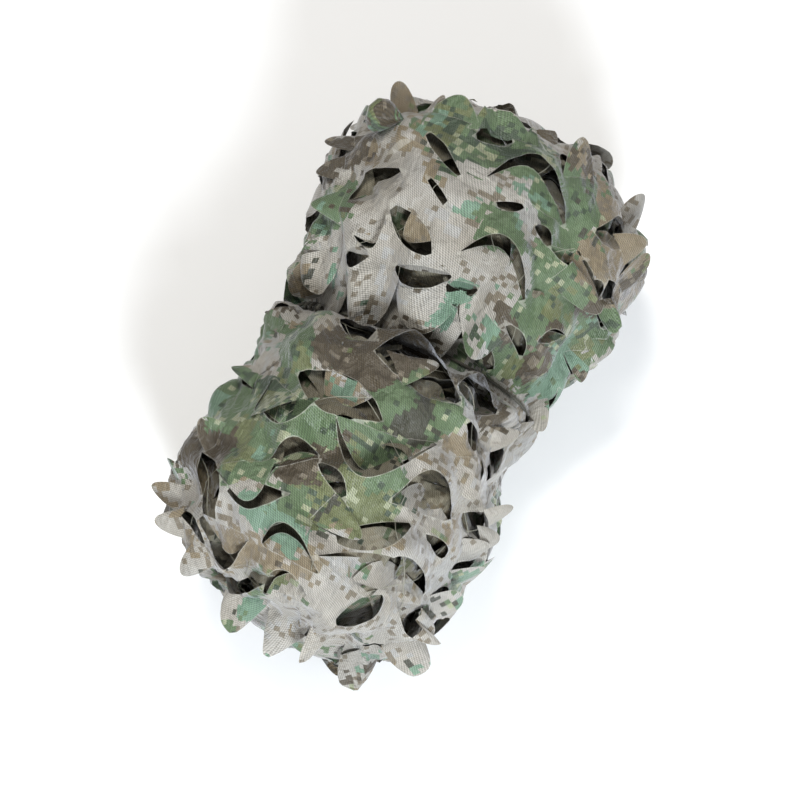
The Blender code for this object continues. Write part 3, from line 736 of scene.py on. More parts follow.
def leaf_grid(turn, cut, twist):
    """Points, cloth places and edge distances of one leaf. Out from the hinge each step goes
    cos(slope) over the surface and sin(slope) along its normal, added up; the slope runs evenly
    from up to up plus bend, and twist tips one end up and the other down. A leaf that drops in
    comes to lie on the next turn: a depth d becomes room times tanh(d / room)."""
    cos, sin, side = hinge_axes(cut)
    part, out = np.meshgrid(np.linspace(TIP_GAP, 1 - TIP_GAP, LEAF_LONG + 1),
                            np.linspace(0, 1, LEAF_OUT + 1), indexing="ij")
    longer = RAISED_LENGTH if cut.up > 0 else SUNK_LENGTH
    reach = longer * (abs(cut.arch) + cut.low) * bell(part, cut)
    radius = cut_radius(cut)
    on, start = (part - 0.5) * cut.length, -cut.low * bell(part, cut)
    lean = LEAN * (cut.peak - 0.5)

    def place(on, off):
        """The distance along the roll and the angle around it of a place beside the hinge."""
        on = on + lean * off
        along = np.clip(on * cos - off * side * sin + cut.along + WAIST,
                        LEAF_CLEAR, FULL_LENGTH - LEAF_CLEAR)
        return along, np.degrees((on * sin + off * side * cos) / radius) + cut.angle

    slope = np.radians(cut.up + cut.bend * out + twist * (part - 0.5))
    step = reach / LEAF_OUT
    level = np.cumsum(np.cos(slope) * step, axis=1) - np.cos(slope[:, :1]) * step[:, :1]
    high = np.cumsum(np.sin(slope) * step, axis=1) - np.sin(slope[:, :1]) * step[:, :1]
    high = np.where(high < 0, turn.room * np.tanh(high / turn.room), high)
    hinge_along, hinge_angle = place(on, start)
    lift = cut_open(hinge_along, hinge_angle, turn.cuts, 0.0)[3]
    hinge = on_turn(turn, hinge_along, hinge_angle, lift)
    normal = outward(hinge_along, hinge_angle)
    ahead = plain_surface(*place(on, start + SHORT_STEP)) - plain_surface(*place(on, start))
    ahead = unit(ahead - normal * (ahead * normal).sum(axis=-1, keepdims=True))
    points = hinge + ahead * level[..., None] + normal * high[..., None]
    points[..., 2] = np.maximum(points[..., 2], LEAF_CLEAR)
    flat_along, flat_angle = place(on, start + reach * out)
    flat_angle = flat_angle - 360 * np.floor((cut.angle - SEAM) / 360)
    if cut in OTHER_PIECE:
        flat_angle = flat_angle + OTHER_PRINT
    return points, flat_along, flat_angle, reach * (1 - out)


# Past the CAD box: what stands freely, and the room beyond that, along x, y and z.
CLOSE, LOOSE = np.array([0.012, 0.008, 0.007]), np.array([0.012, 0.010, 0.009])


def kept_close(points):
    """Leaves that would stand far out curl back instead. Past CLOSE outside the CAD box, a
    distance d becomes LOOSE times tanh(d / LOOSE), so none passes CLOSE + LOOSE."""
    for low, high in ((cad_box[0], 1), (cad_box[1], -1)):
        limit = np.array(low) - high * CLOSE - PLACE
        past = np.maximum(high * (limit - points), 0)
        points = points + high * (past - LOOSE * np.tanh(past / LOOSE))
    return points


def leaf_block(turn, seed):
    """All the leaves of a turn as flat arrays: points, cloth places, edge distances and quads."""
    draw = np.random.default_rng(seed)
    grids = [leaf_grid(turn, cut, LEAF_TWIST * (2 * draw.random() - 1))
             for cut in turn.cuts if cut.up is not SLIT]
    points, along, angle, edge = (np.stack(values) for values in zip(*grids))
    leaves, rows, columns = along.shape
    i, j = np.meshgrid(np.arange(rows - 1), np.arange(columns - 1), indexing="ij")
    one = np.stack([i * columns + j, (i + 1) * columns + j, (i + 1) * columns + j + 1,
                    i * columns + j + 1], axis=-1).reshape(-1, 4)
    quads = (one[None] + (np.arange(leaves) * rows * columns)[:, None, None]).reshape(-1, 4)
    hinges = np.repeat([cut.along + WAIST for cut in turn.cuts if cut.up is not SLIT],
                       rows * columns)
    return (kept_close(points.reshape(-1, 3)), along.ravel(), angle.ravel(), edge.ravel(), hinges,
            quads)


END_PRINT = 0.088       # this near an end, over the cloth, the print runs straight across the end
END_SHIFT = 3.0         # metres of cloth between that print and the other
END_GAP = 0.0005        # from each end to the first row of points
RIM_REACH = 0.01        # how far from a cut the distance to it is still kept


def cloth_uvs(along, angle, chart, quads, triangles):
    """One UV pair for each face corner, in metres: the distance along, and the angle times the
    radius, kept whole across the seam. Near the ends it is the place across the end instead."""
    flat = np.concatenate([quads.ravel(), triangles.ravel()])
    v = angle[flat]
    first = np.concatenate([np.repeat(v[:quads.size:4], 4), np.repeat(v[quads.size::3], 3)])
    uvs = np.stack([along[flat], np.radians(first + wrapped(v - first)) * RADIUS], axis=-1)
    ends = (chart < END_PRINT) | (chart > FULL_LENGTH - END_PRINT)
    ends = ends[np.concatenate([np.repeat(quads[:, 0], 4), np.repeat(triangles[:, 0], 3)])]
    uvs[ends] = plain_surface(along, angle)[flat][ends][:, 1:] + END_SHIFT
    return flat, uvs


def cloth_turn(name, turn, step_along, columns, material):
    """One turn of cut cloth: the grid, once its cuts have moved and removed points, and the
    leaves. Both are one mesh, because a leaf is part of its cloth."""
    rows = int(FULL_LENGTH / step_along)
    along, angle = np.meshgrid(np.linspace(END_GAP, FULL_LENGTH - END_GAP, rows), columns,
                               indexing="ij")
    along, angle, gone, lift, edge = cut_open(along, angle, turn.cuts, step_along)
    points = on_turn(turn, along, angle, lift).reshape(-1, 3)
    quads, triangles = grid_faces(*along.shape, gone)
    along, angle, edge = along.ravel(), angle.ravel(), edge.ravel()
    chart = along
    if turn.cuts:
        leaves = leaf_block(turn, turn.seed + 5)
        more, leaf_along, leaf_angle, leaf_edge, hinges, leaf_quads = leaves
        chart = np.concatenate([chart, hinges])
        quads = np.concatenate([quads, leaf_quads + len(points)])
        points = np.concatenate([points, more])
        along, angle = np.concatenate([along, leaf_along]), np.concatenate([angle, leaf_angle])
        edge = np.concatenate([edge, leaf_edge])
    flat, uvs = cloth_uvs(along, angle, chart, quads, triangles)
    used = np.unique(flat)
    number = np.zeros(len(along), int)
    number[used] = np.arange(len(used))
    tints = tint_fields(along, angle, turn.sink == 0)
    fields = [(title, values[used]) for title, values in tints.items()]
    fields.append(("edge", np.minimum(edge, RIM_REACH)[used]))
    faces = number[quads].tolist() + number[triangles].tolist()
    thing = mesh_object(name, points[used] + PLACE, faces, uvs, material, fields)
    area = sum(polygon.area for polygon in thing.data.polygons)
    loose = sum(cut.up is not SLIT for cut in turn.cuts)
    print(f"{name}: {2 * len(quads) + len(triangles)} triangles, {loose} leaves, {area:.3f} m²")
    return thing


# %% [markdown]
# ## Where each colour gathers
# The print is a plain digital camouflage: small squares that gather into patches. A few broad
# soft areas say where green, brown, tan or mint is more likely on this roll. They're one number
# at each point, and the material turns them into squares.

# %% Broad areas of colour
Area = namedtuple("Area", ("along", "angle", "radius", "amount"))
# From the tie, plus is the far lobe and minus the near one. Those at angles below -60 lie on the
# pieces that are rolled up or slipped under.
AREAS = {
    "green": (
        (0.211, 75, 0.040, 1.0), (0.207, 91, 0.030, 1.0), (0.222, 102, 0.026, 1.0),
        (0.188, 116, 0.028, 1.0), (0.174, 126, 0.030, 1.1), (0.121, 104, 0.022, 0.8),
        (0.121, 122, 0.024, 0.9), (0.104, 131, 0.026, 1.0), (0.054, 131, 0.030, 1.0),
        (0.111, 163, 0.024, 0.9), (0.097, 43, 0.020, 1.2), (0.075, 136, 0.024, 0.8),
        (0.023, 131, 0.020, 0.9), (0.234, 172, 0.016, 0.5), (0.030, 148, 0.038, 1.2),
        (0.062, 160, 0.034, 1.1), (0.179, 117, 0.024, 0.8), (0.085, 32, 0.026, 1.1),
        (-0.066, 32, 0.022, 0.8), (0.240, -99, 0.060, 1.5), (-0.098, 112, 0.026, 1.0),
        (-0.076, 50, 0.026, 1.2), (-0.160, 38, 0.030, 1.2), (-0.105, 58, 0.028, 1.2),
        (-0.148, 55, 0.026, 1.1), (-0.137, 69, 0.020, 0.8), (-0.187, 64, 0.034, 1.4),
        (-0.201, 56, 0.022, 1.1), (-0.170, 84, 0.036, 1.3), (-0.101, 99, 0.032, 1.3),
        (-0.118, 92, 0.020, 1.0), (-0.201, 96, 0.030, 1.2), (-0.197, 105, 0.022, 1.0),
        (-0.229, 94, 0.020, 0.9), (-0.241, 87, 0.020, 0.8), (-0.238, 63, 0.018, 0.7),
        (-0.219, 108, 0.016, 0.7),
    ),
    "brown": (
        (0.062, 116, 0.014, 1.0), (0.159, 30, 0.018, 0.8), (0.125, 28, 0.020, 0.8),
        (0.137, 155, 0.014, 0.7), (0.045, 152, 0.014, 0.8), (0.170, 172, 0.026, 0.8),
        (0.036, 146, 0.020, 0.9), (0.050, 124, 0.014, 0.8), (0.205, 174, 0.032, 0.9),
        (0.152, 160, 0.018, 0.8), (0.117, 150, 0.020, 1.1), (0.079, 140, 0.012, 0.7),
        (0.170, 38, 0.022, 0.8), (-0.188, 92, 0.020, 0.8), (0.236, -99, 0.050, 0.75),
        (-0.070, 76, 0.034, 1.3), (-0.058, 90, 0.028, 1.3), (-0.084, 87, 0.018, 1.0),
        # The wide brown areas at -0.020 and -0.030 on the near lobe are partly print and partly
        # painted shade of the crease.
        (-0.066, 114, 0.024, 1.1), (-0.061, 134, 0.022, 1.0), (-0.020, 100, 0.040, 1.2),
        (-0.030, 130, 0.036, 1.1), (-0.052, 40, 0.024, 1.0), (-0.248, 44, 0.034, 1.2),
        (-0.219, 36, 0.024, 1.0), (-0.212, 82, 0.015, 1.1),
    ),
    "tan": (
        (0.235, 44, 0.024, 0.9), (0.250, 58, 0.020, 1.1), (0.161, 44, 0.018, 0.9),
        (0.143, 52, 0.014, 0.8), (0.239, 122, 0.026, 1.4), (0.216, 138, 0.022, 1.0),
        (0.145, 140, 0.026, 1.1), (0.176, 163, 0.026, 1.1), (0.071, 63, 0.014, 0.8),
        (0.096, 84, 0.012, 0.5), (0.150, 156, 0.032, 1.1), (0.200, 152, 0.030, 1.2),
        (0.185, 172, 0.040, 1.3), (-0.118, -68, 0.036, 1.0), (0.090, -70, 0.030, 0.9),
        (-0.062, 48, 0.012, 0.8), (-0.233, 69, 0.018, 0.9), (-0.137, 102, 0.022, 1.0),
        (-0.305, 72, 0.022, 1.3), (-0.222, 117, 0.022, 1.0), (-0.330, 165, 0.024, 0.8),
        (-0.372, 110, 0.018, 0.8),
    ),
    "mint": (
        (0.172, 104, 0.018, 0.9), (0.130, 92, 0.012, 0.7), (0.059, 99, 0.016, 0.8),
        (0.080, 112, 0.020, 0.8), (0.022, 98, 0.016, 0.8), (0.225, -101, 0.016, 0.9),
        (-0.120, 64, 0.026, 0.8), (-0.162, 74, 0.022, 0.6), (-0.263, 80, 0.030, 1.2),
        (-0.255, 87, 0.018, 0.8), (-0.095, 62, 0.014, 0.7), (-0.100, 119, 0.014, 0.7),
        (-0.284, 92, 0.016, 0.8), (-0.189, 101, 0.014, 0.8), (-0.360, 76, 0.014, 0.7),
    ),
}
COLOUR_NAMES = ("green", "brown", "tan", "mint")
PLAIN_BACKGROUND = {"green": 0.42, "brown": 0.34, "tan": 0.40, "mint": 0.30}
SEEN_START, SEEN_END = (22, 40), (165, 190)     # angles over which the side in sight fades in, out
SEEN_SHARE = 0.6                # there the areas say more, and the background this much less


def tint_fields(along, angle, gathered):
    """For each colour, its background plus a bell of each area: amount times exp(-(d / r)²). Far
    from every area the colours stand at their even background, and so do the inner turns, where
    gathered is 0: another piece of the print comes to lie there."""
    total = {name: np.zeros(along.shape) for name in COLOUR_NAMES}
    seen = ramp(angle, *SEEN_START) * (1 - ramp(angle, *SEEN_END))
    for colour, areas in AREAS.items():
        for area in (Area(*row) for row in areas):
            about = np.radians(wrapped(angle - area.angle)) * RADIUS
            away = ((along - WAIST - area.along) ** 2 + about**2) / area.radius**2
            total[colour] += gathered * area.amount * np.exp(-away)
    return {name: values + PLAIN_BACKGROUND[name] * (1 - SEEN_SHARE * seen)
            for name, values in total.items()}


# %% [markdown]
# ## Materials
# One node group prints the camouflage. It snaps the cloth's own coordinates to small squares,
# reads soft noise there, and compares it with the areas above. A second group gives the weave,
# whose changes of tone are painted shade and highlight.

# %% Node helpers
SIDE_OFFSET = 0.37      # share of its offset that a noise is moved by in the second direction


def new_group(name, inputs, outputs):
    """A shader node group with those sockets, and its input and output nodes."""
    group = bpy.data.node_groups.new(name, "ShaderNodeTree")
    for title, kind, value in inputs:
        socket = group.interface.new_socket(title, in_out="INPUT", socket_type=kind)
        if value is not None:
            socket.default_value = value
    for title, kind in outputs:
        group.interface.new_socket(title, in_out="OUTPUT", socket_type=kind)
    return group, group.nodes.new("NodeGroupInput"), group.nodes.new("NodeGroupOutput")


def join(tree, value, socket):
    """Links an output to a socket, or sets a plain value on it."""
    if isinstance(value, bpy.types.NodeSocket):
        tree.links.new(value, socket)
    else:
        socket.default_value = value


def maths(tree, operation, *values):
    """A Math node of those values, which may be numbers or outputs."""
    node = tree.nodes.new("ShaderNodeMath")
    node.operation = operation
    for value, socket in zip(values, node.inputs):
        join(tree, value, socket)
    return node.outputs[0]


def vector_maths(tree, operation, first, second):
    """A Vector Math node of two values, which may be vectors or outputs."""
    node = tree.nodes.new("ShaderNodeVectorMath")
    node.operation = operation
    join(tree, first, node.inputs[0])
    join(tree, second, node.inputs[1])
    return node.outputs[0]


def blend_colours(tree, share, first, second):
    """The first colour where share is 0 and the second where it is 1."""
    node = tree.nodes.new("ShaderNodeMix")
    node.data_type = "RGBA"
    join(tree, share, node.inputs["Factor"])
    join(tree, first, node.inputs["A"])
    join(tree, second, node.inputs["B"])
    return node.outputs["Result"]


def noise_at(tree, place, scale, detail, offset=0.0):
    """Soft noise of that scale at a place, moved by offset so that two differ."""
    node = tree.nodes.new("ShaderNodeTexNoise")
    node.inputs["Scale"].default_value = scale
    node.inputs["Detail"].default_value = detail
    moved = vector_maths(tree, "ADD", place, (offset, SIDE_OFFSET * offset, 0))
    tree.links.new(moved, node.inputs["Vector"])
    return node.outputs["Fac"]


def attribute(tree, name):
    """The number that the mesh carries at each point under that name."""
    node = tree.nodes.new("ShaderNodeAttribute")
    node.attribute_name = name
    return node.outputs["Fac"]


def bump(tree, height, strength, distance, shader):
    """Tilts a shader's normals by a height over the surface."""
    node = tree.nodes.new("ShaderNodeBump")
    node.inputs["Strength"].default_value = strength
    node.inputs["Distance"].default_value = distance
    tree.links.new(height, node.inputs["Height"])
    tree.links.new(node.outputs[0], shader.inputs["Normal"])


def cloth_places(tree):
    """The UV map in metres of cloth."""
    node = tree.nodes.new("ShaderNodeUVMap")
    node.uv_map = "cloth"
    return node.outputs[0]


def new_material(name):
    """A material with a Principled shader, its node tree and that shader."""
    material = bpy.data.materials.new(name)
    material.use_nodes = True
    return material, material.node_tree, material.node_tree.nodes["Principled BSDF"]


# %% The camouflage print
SQUARE = 0.0052         # side of one printed square
INK = {
    "ground": (0.268, 0.244, 0.204, 1), "pale": (0.284, 0.282, 0.274, 1),
    "dun": (0.142, 0.122, 0.092, 1), "green": (0.080, 0.122, 0.062, 1),
    "olive": (0.108, 0.124, 0.056, 1), "reed": (0.235, 0.255, 0.168, 1),
    "brown": (0.058, 0.046, 0.029, 1), "tan": (0.172, 0.140, 0.092, 1),
    "mint": (0.118, 0.192, 0.138, 1), "dark": (0.044, 0.045, 0.032, 1),
    "pine": (0.040, 0.060, 0.036, 1),
}
PATCHES, RAGS, SPECKS = 11.0, 52.0, 110.0   # noise scales: patches, their ragged rims, squares
RAG, SPECK = 0.34, 0.20                     # how far those two move a rim
CLUSTERS, IN_CLUSTER = 26.0, 0.56           # noise scale of the groups of loose squares, and level
TONES = 16.0                                # noise scale of the slow change from pale to ground
LOOSE_SQUARES = (0.015, 0.27)               # their share outside a group and inside one


def camouflage_group():
    """Squares of colour: for each ink, noise read at the middle of a square is compared with
    that ink's share at the place, and a later ink prints over an earlier one. Loose squares come
    in groups, each square by the chance of its own random number."""
    inputs = [("Cloth", "NodeSocketVector", None), ("Shift", "NodeSocketFloat", 0.0)]
    inputs += [(name.capitalize(), "NodeSocketFloat", 0.3) for name in COLOUR_NAMES]
    group, enter, leave = new_group("camouflage print", inputs, [("Color", "NodeSocketColor")])
    across = group.nodes.new("ShaderNodeCombineXYZ")
    group.links.new(enter.outputs["Shift"], across.inputs["Z"])

    def moved(place):
        """The place moved across the noise, so each turn has a print of its own."""
        return vector_maths(group, "ADD", place, across.outputs[0])

    square = moved(vector_maths(group, "SNAP", enter.outputs["Cloth"], (SQUARE, SQUARE, SQUARE)))

    def field(offset):
        """Noise from 0 to 1 that gathers into patches with ragged, square-edged rims."""
        patch = noise_at(group, square, PATCHES, 1.0, offset)
        rag = maths(group, "SUBTRACT", noise_at(group, square, RAGS, 1.0, offset + 3), 0.5)
        speck = maths(group, "SUBTRACT", noise_at(group, square, SPECKS, 0.0, offset + 7), 0.5)
        ragged = maths(group, "ADD", patch, maths(group, "MULTIPLY", rag, RAG))
        return maths(group, "ADD", ragged, maths(group, "MULTIPLY", speck, SPECK))

    def share(name, highest, pull):
        """The level a field has to pass: lower where the ink is more likely."""
        return maths(group, "SUBTRACT", highest,
                     maths(group, "MULTIPLY", enter.outputs[name.capitalize()], pull))

    def printed(offset, level):
        """1 where the field passes a level that is the same all over."""
        return maths(group, "GREATER_THAN", field(offset), level)

    def loose(offset):
        """1 on single squares that stand in groups."""
        chance = group.nodes.new("ShaderNodeTexWhiteNoise")
        chance.noise_dimensions = "3D"
        apart = vector_maths(group, "ADD", square, (0, 0, offset))
        group.links.new(apart, chance.inputs["Vector"])
        cluster = noise_at(group, square, CLUSTERS, 1.0, offset)
        near = maths(group, "GREATER_THAN", cluster, IN_CLUSTER)
        outside, inside = LOOSE_SQUARES
        level = maths(group, "SUBTRACT", 1 - outside, maths(group, "MULTIPLY", near, inside))
        return maths(group, "GREATER_THAN", chance.outputs["Value"], level)

    def patch(name, offset, highest, pull, scatter, chance, ink, under):
        """Prints ink over under in patches, with loose squares of it scattered around each."""
        own = field(offset)
        near = maths(group, "GREATER_THAN", own, share(name, highest - scatter, pull))
        around = maths(group, "MULTIPLY", near, chance)
        under = blend_colours(group, around, under, ink)
        return blend_colours(group, maths(group, "GREATER_THAN", own, share(name, highest, pull)),
                             under, ink)

    # The first number of each ink is the offset of its noise, and the second its level.
    soft = noise_at(group, moved(enter.outputs["Cloth"]), TONES, 1.0, 29)
    colour = blend_colours(group, soft, INK["pale"], INK["ground"])
    colour = blend_colours(group, printed(31, 0.60), colour, INK["pale"])
    colour = patch("tan", 11, 0.72, 0.30, 0.07, loose(2), INK["tan"], colour)
    colour = blend_colours(group, loose(15), colour, INK["dun"])
    colour = patch("mint", 17, 0.78, 0.34, 0.07, loose(21), INK["mint"], colour)
    greenery = blend_colours(group, printed(23, 0.60), INK["green"], INK["olive"])
    greenery = blend_colours(group, loose(6), greenery, INK["reed"])
    greenery = blend_colours(group, loose(13), greenery, INK["pine"])
    greenery = blend_colours(group, printed(41, 0.64), greenery, INK["mint"])
    greenery = blend_colours(group, printed(59, 0.66), greenery, INK["pine"])
    colour = patch("green", 5, 0.75, 0.36, 0.09, loose(25), greenery, colour)
    brownery = blend_colours(group, loose(9), INK["brown"], INK["dun"])
    brownery = blend_colours(group, printed(37, 0.66), brownery, INK["olive"])
    colour = patch("brown", 47, 0.80, 0.36, 0.08, loose(33), brownery, colour)
    colour = blend_colours(group, printed(53, 0.72), colour, INK["dark"])
    group.links.new(colour, leave.inputs["Color"])
    return group


# %% The weave
THREADS = 350.0         # ribs in a metre of cloth, as coarse as the twill reads from afar
STREAK = (0.16, 1.0, 1.0)   # pulls the noise out into streaks along the threads
CREASES, STREAKS = 75.0, 330.0      # noise scales
TWILL_HIGH, FOLD_HIGH, STREAK_HIGH = 0.10, -3.2, 0.55   # shares of the height
TWILL_TONE, STREAK_TONE, CREASE_TONE = 0.50, 0.40, 0.52     # shares of the colour: painted shade and highlight
PLAIN_SHADE, PLAIN_TONE = 0.84, 0.74        # what is left where those are 0


def weave_group():
    """A fine diagonal twill: the sine of the two cloth coordinates added, times their difference,
    as a height and as a slight change of colour, which is painted shade and highlight of the
    threads.
    Soft noise gives the creases, and the same noise pulled out along one thread gives the streaks;
    both also lighten and darken the colour, as painted shade and highlight."""
    inputs = [("Cloth", "NodeSocketVector", None), ("Color", "NodeSocketColor", None)]
    outputs = [("Color", "NodeSocketColor"), ("Height", "NodeSocketFloat"),
               ("Wear", "NodeSocketFloat")]
    group, enter, leave = new_group("thin woven cloth with painted shade", inputs, outputs)
    parts = group.nodes.new("ShaderNodeSeparateXYZ")
    group.links.new(enter.outputs["Cloth"], parts.inputs[0])
    total = maths(group, "ADD", parts.outputs[0], parts.outputs[1])
    apart = maths(group, "SUBTRACT", parts.outputs[0], parts.outputs[1])
    ribs = maths(group, "SINE", maths(group, "MULTIPLY", total, 2 * math.pi * THREADS))
    floats = maths(group, "SINE", maths(group, "MULTIPLY", apart, math.pi * THREADS))
    twill = maths(group, "MULTIPLY", ribs, floats)
    crease = noise_at(group, enter.outputs["Cloth"], CREASES, 4.0, 9.0)
    pulled = vector_maths(group, "MULTIPLY", enter.outputs["Cloth"], STREAK)
    streak = noise_at(group, pulled, STREAKS, 2.0, 4.0)
    fold = maths(group, "ABSOLUTE", maths(group, "SUBTRACT", crease, 0.5))
    height = maths(group, "ADD", maths(group, "MULTIPLY", twill, TWILL_HIGH),
                   maths(group, "MULTIPLY", fold, FOLD_HIGH))
    height = maths(group, "ADD", height, maths(group, "MULTIPLY", streak, STREAK_HIGH))
    shade = maths(group, "ADD", PLAIN_SHADE, maths(group, "MULTIPLY", twill, TWILL_TONE))
    shade = maths(group, "ADD", shade, maths(group, "MULTIPLY", streak, STREAK_TONE))
    painted_crease_shade = maths(group, "ADD", PLAIN_TONE, maths(group, "MULTIPLY", crease, CREASE_TONE))
    painted_light = maths(group, "MULTIPLY", shade, painted_crease_shade)
    scale = group.nodes.new("ShaderNodeVectorMath")
    scale.operation = "SCALE"
    group.links.new(enter.outputs["Color"], scale.inputs[0])
    group.links.new(painted_light, scale.inputs["Scale"])
    group.links.new(scale.outputs[0], leave.inputs["Color"])
    group.links.new(height, leave.inputs["Height"])
    group.links.new(crease, leave.inputs["Wear"])
    return group


PRINT, WEAVE = camouflage_group(), weave_group()


# %% Cloth materials
# A paler ink along each cut edge, weaker on the deeper turns.
RIM_WIDTH, RIM_INK = 0.0007, (0.42, 0.41, 0.37, 1)
WEAR_ROUGH = 0.16       # how much rougher the cloth is where it is worn


def cloth_material(name, shift, light, roughness, rim):
    """Printed cloth: the print, then the weave, a pale rim along each cut, and a sheen.
    The colour is multiplied by light: on the inner turns a darker, olive tone, which is painted
    shade for the little light that reaches them through the turns above."""
    material, tree, shader = new_material(name)
    cloth = cloth_places(tree)
    ink = tree.nodes.new("ShaderNodeGroup")
    ink.node_tree = PRINT
    ink.inputs["Shift"].default_value = shift
    tree.links.new(cloth, ink.inputs["Cloth"])
    for colour in COLOUR_NAMES:
        tree.links.new(attribute(tree, colour), ink.inputs[colour.capitalize()])
    weave = tree.nodes.new("ShaderNodeGroup")
    weave.node_tree = WEAVE
    tree.links.new(cloth, weave.inputs["Cloth"])
    tree.links.new(ink.outputs["Color"], weave.inputs["Color"])
    pale_rim = maths(tree, "LESS_THAN", attribute(tree, "edge"), RIM_WIDTH)
    pale_rim = maths(tree, "MULTIPLY", pale_rim, rim)
    colour = blend_colours(tree, pale_rim, weave.outputs["Color"], RIM_INK)
    tree.links.new(vector_maths(tree, "MULTIPLY", colour, light), shader.inputs["Base Color"])
    worn = maths(tree, "MULTIPLY", weave.outputs["Wear"], WEAR_ROUGH)
    tree.links.new(maths(tree, "ADD", roughness, worn), shader.inputs["Roughness"])
    bump(tree, weave.outputs["Height"], 0.7, 0.0028, shader)
    shader.inputs["Sheen Weight"].default_value = 0.42
    shader.inputs["Sheen Roughness"].default_value = 0.35
    shader.inputs["Sheen Tint"].default_value = (0.86, 0.88, 0.95, 1)
    shader.inputs["Specular IOR Level"].default_value = 0.5
    return material


# Each light factor multiplies the colour; those of the inner turns are painted shade.
OUTER = cloth_material("printed cloth", 0.0, (0.98, 0.97, 0.94), 0.34, 0.40)
SECOND = cloth_material("printed cloth of the second turn in painted shade", 2.3, (0.48, 0.45, 0.34), 0.42, 0.2)
THIRD = cloth_material("printed cloth of the third turn in painted shade", 5.1, (0.36, 0.34, 0.25), 0.50, 0.1)
DEEP = cloth_material("printed cloth deep in the roll in painted shade", 8.7, (0.40, 0.38, 0.29), 0.60, 0.0)
print(len(bpy.data.materials), "materials")

# %% [markdown]
# ## The turns of cloth
# Three turns are cut, and a whole one lies deep inside them where nothing but dark shows.

# %% Outer turn
outer_turn = Turn(outer_cuts, 0.0, 0.0145, 0.0056, 23)
outer = cloth_turn("outer_turn", outer_turn, 0.0027, turn_columns(1.0, 2.3), OUTER)

# %% Inner turns
second_turn = Turn(cut_rows(11, (), 1.05, 17.0, 0.0), 0.0162, 0.0110, 0.0056, 31)
third_turn = Turn(cut_rows(12, (), 1.10, 41.0, 0.0), 0.0290, 0.0115, 0.0056, 41)
deep_turn = Turn((), 0.0420, 0.0, 0.0056, 51)
second = cloth_turn("second_turn", second_turn, 0.0038, turn_columns(1.4, 2.6), SECOND)
third = cloth_turn("third_turn", third_turn, 0.0052, turn_columns(2.0, 3.2), THIRD)
deep = cloth_turn("deep_turns", deep_turn, 0.0065, turn_columns(2.6, 3.6), DEEP)

# %% [markdown]
# ## The tie
# One laid cord goes once around the waist and is half knotted on one side. Its path repeats the
# CAD cord's. Three strands wound about that path make it a rope instead of a smooth tube.

# %% The tie's path
CORD = 0.0036           # across
CORD_CLEAR = 0.0007     # off the cloth
CORD_POINTS = 44        # around the waist
KNOT_ANGLE, KNOT_HALF, KNOT_TURNS = 33.0, 7.5, 1.5
KNOT_RADIUS, KNOT_POINTS = 0.0027, 13
ANY_WAY = (0.3, 0.2, 0.9)       # no cord starts this way, so a first side can be found from it
LONG_END = (
    (-0.0030, 0.1266, 0.1470), (-0.0100, 0.1318, 0.1490), (-0.0165, 0.1360, 0.1530),
    (-0.0225, 0.1392, 0.1585), (-0.0275, 0.1428, 0.1645), (-0.0315, 0.1465, 0.1710),
)
SHORT_END = (
    (-0.0012, 0.1016, 0.1730), (-0.0042, 0.0998, 0.1790), (-0.0080, 0.0990, 0.1850),
    (-0.0125, 0.0990, 0.1905),
)


def run_of(line):
    """How far along a line of points each of them is: the sum of the steps up to it."""
    return np.concatenate([[0], np.cumsum(np.linalg.norm(np.diff(line, axis=0), axis=1))])


def over_waist(x, angle, out):
    """Points straight out from the smooth strip of the waist, moved along the roll by x."""
    along = np.full(np.shape(angle), WAIST)
    small = math.degrees(0.001)
    around = plain_surface(along, angle + small) - plain_surface(along, angle - small)
    away = unit(np.stack([np.zeros(len(angle)), around[:, 2], -around[:, 1]], axis=-1))
    sideways = np.stack([x, np.zeros(len(angle)), np.zeros(len(angle))], axis=-1)
    return plain_surface(along, angle) + away * np.asarray(out)[:, None] + sideways


def tie_path():
    """The cord's middle line: a free end, the knot, around the waist, the knot, a free end. In
    the knot the two strands wind about one axis, as a sine and a cosine of the way through it."""
    rest = CORD / 2 + CORD_CLEAR
    axis = rest + KNOT_RADIUS
    part = np.linspace(0, 1, KNOT_POINTS)
    swing = 2 * np.pi * KNOT_TURNS * part
    aside, rise = KNOT_RADIUS * np.sin(swing), KNOT_RADIUS * np.cos(swing)
    knot = KNOT_ANGLE + KNOT_HALF * (1 - 2 * part)
    under, over = over_waist(aside, knot, axis - rise), over_waist(-aside, knot, axis + rise)
    step = 360 / CORD_POINTS
    angles = np.linspace(KNOT_ANGLE - KNOT_HALF + 360 - step, KNOT_ANGLE + KNOT_HALF + step,
                         CORD_POINTS)
    waist = over_waist(np.zeros(CORD_POINTS), angles, np.full(CORD_POINTS, rest))
    return np.concatenate([SHORT_END[::-1], over, waist, under, LONG_END]) + PLACE


def along_path(path, step):
    """Points that far apart on a path, with smooth corners, and the path's length."""
    run = run_of(path)
    places = np.arange(0, run[-1], step)
    line = np.stack([np.interp(places, run, path[:, axis]) for axis in range(3)], axis=-1)
    for _ in range(2):
        line[1:-1] = (line[:-2] + 2 * line[1:-1] + line[2:]) / 4
    return line, run[-1]


def tube_grid(line, radius, sides, wind=0.0, out=0.0, start=0.0):
    """Rings about a line. Each ring's centre stands off the line by out, and winds about it by
    that many turns a metre from a start in turns, which makes one strand of a laid cord."""
    forward = unit(np.gradient(line, axis=0))
    side = np.zeros_like(line)
    side[0] = unit(np.cross(forward[0], ANY_WAY))
    for n in range(1, len(line)):  # carried along the middle line, so the frame never flips
        side[n] = unit(side[n - 1] - forward[n] * side[n - 1].dot(forward[n]))
    other = np.cross(forward, side)
    run = run_of(line)
    lay = 2 * np.pi * (wind * run + start)
    centre = line + out * (side * np.cos(lay)[:, None] + other * np.sin(lay)[:, None])
    turn = np.arange(sides) * 2 * np.pi / sides
    ring = side[:, None] * np.cos(turn)[:, None] + other[:, None] * np.sin(turn)[:, None]
    return centre[:, None] + radius * ring, run


SIDE_UV = 0.003         # metres of the UV map from one side of a tube to the next


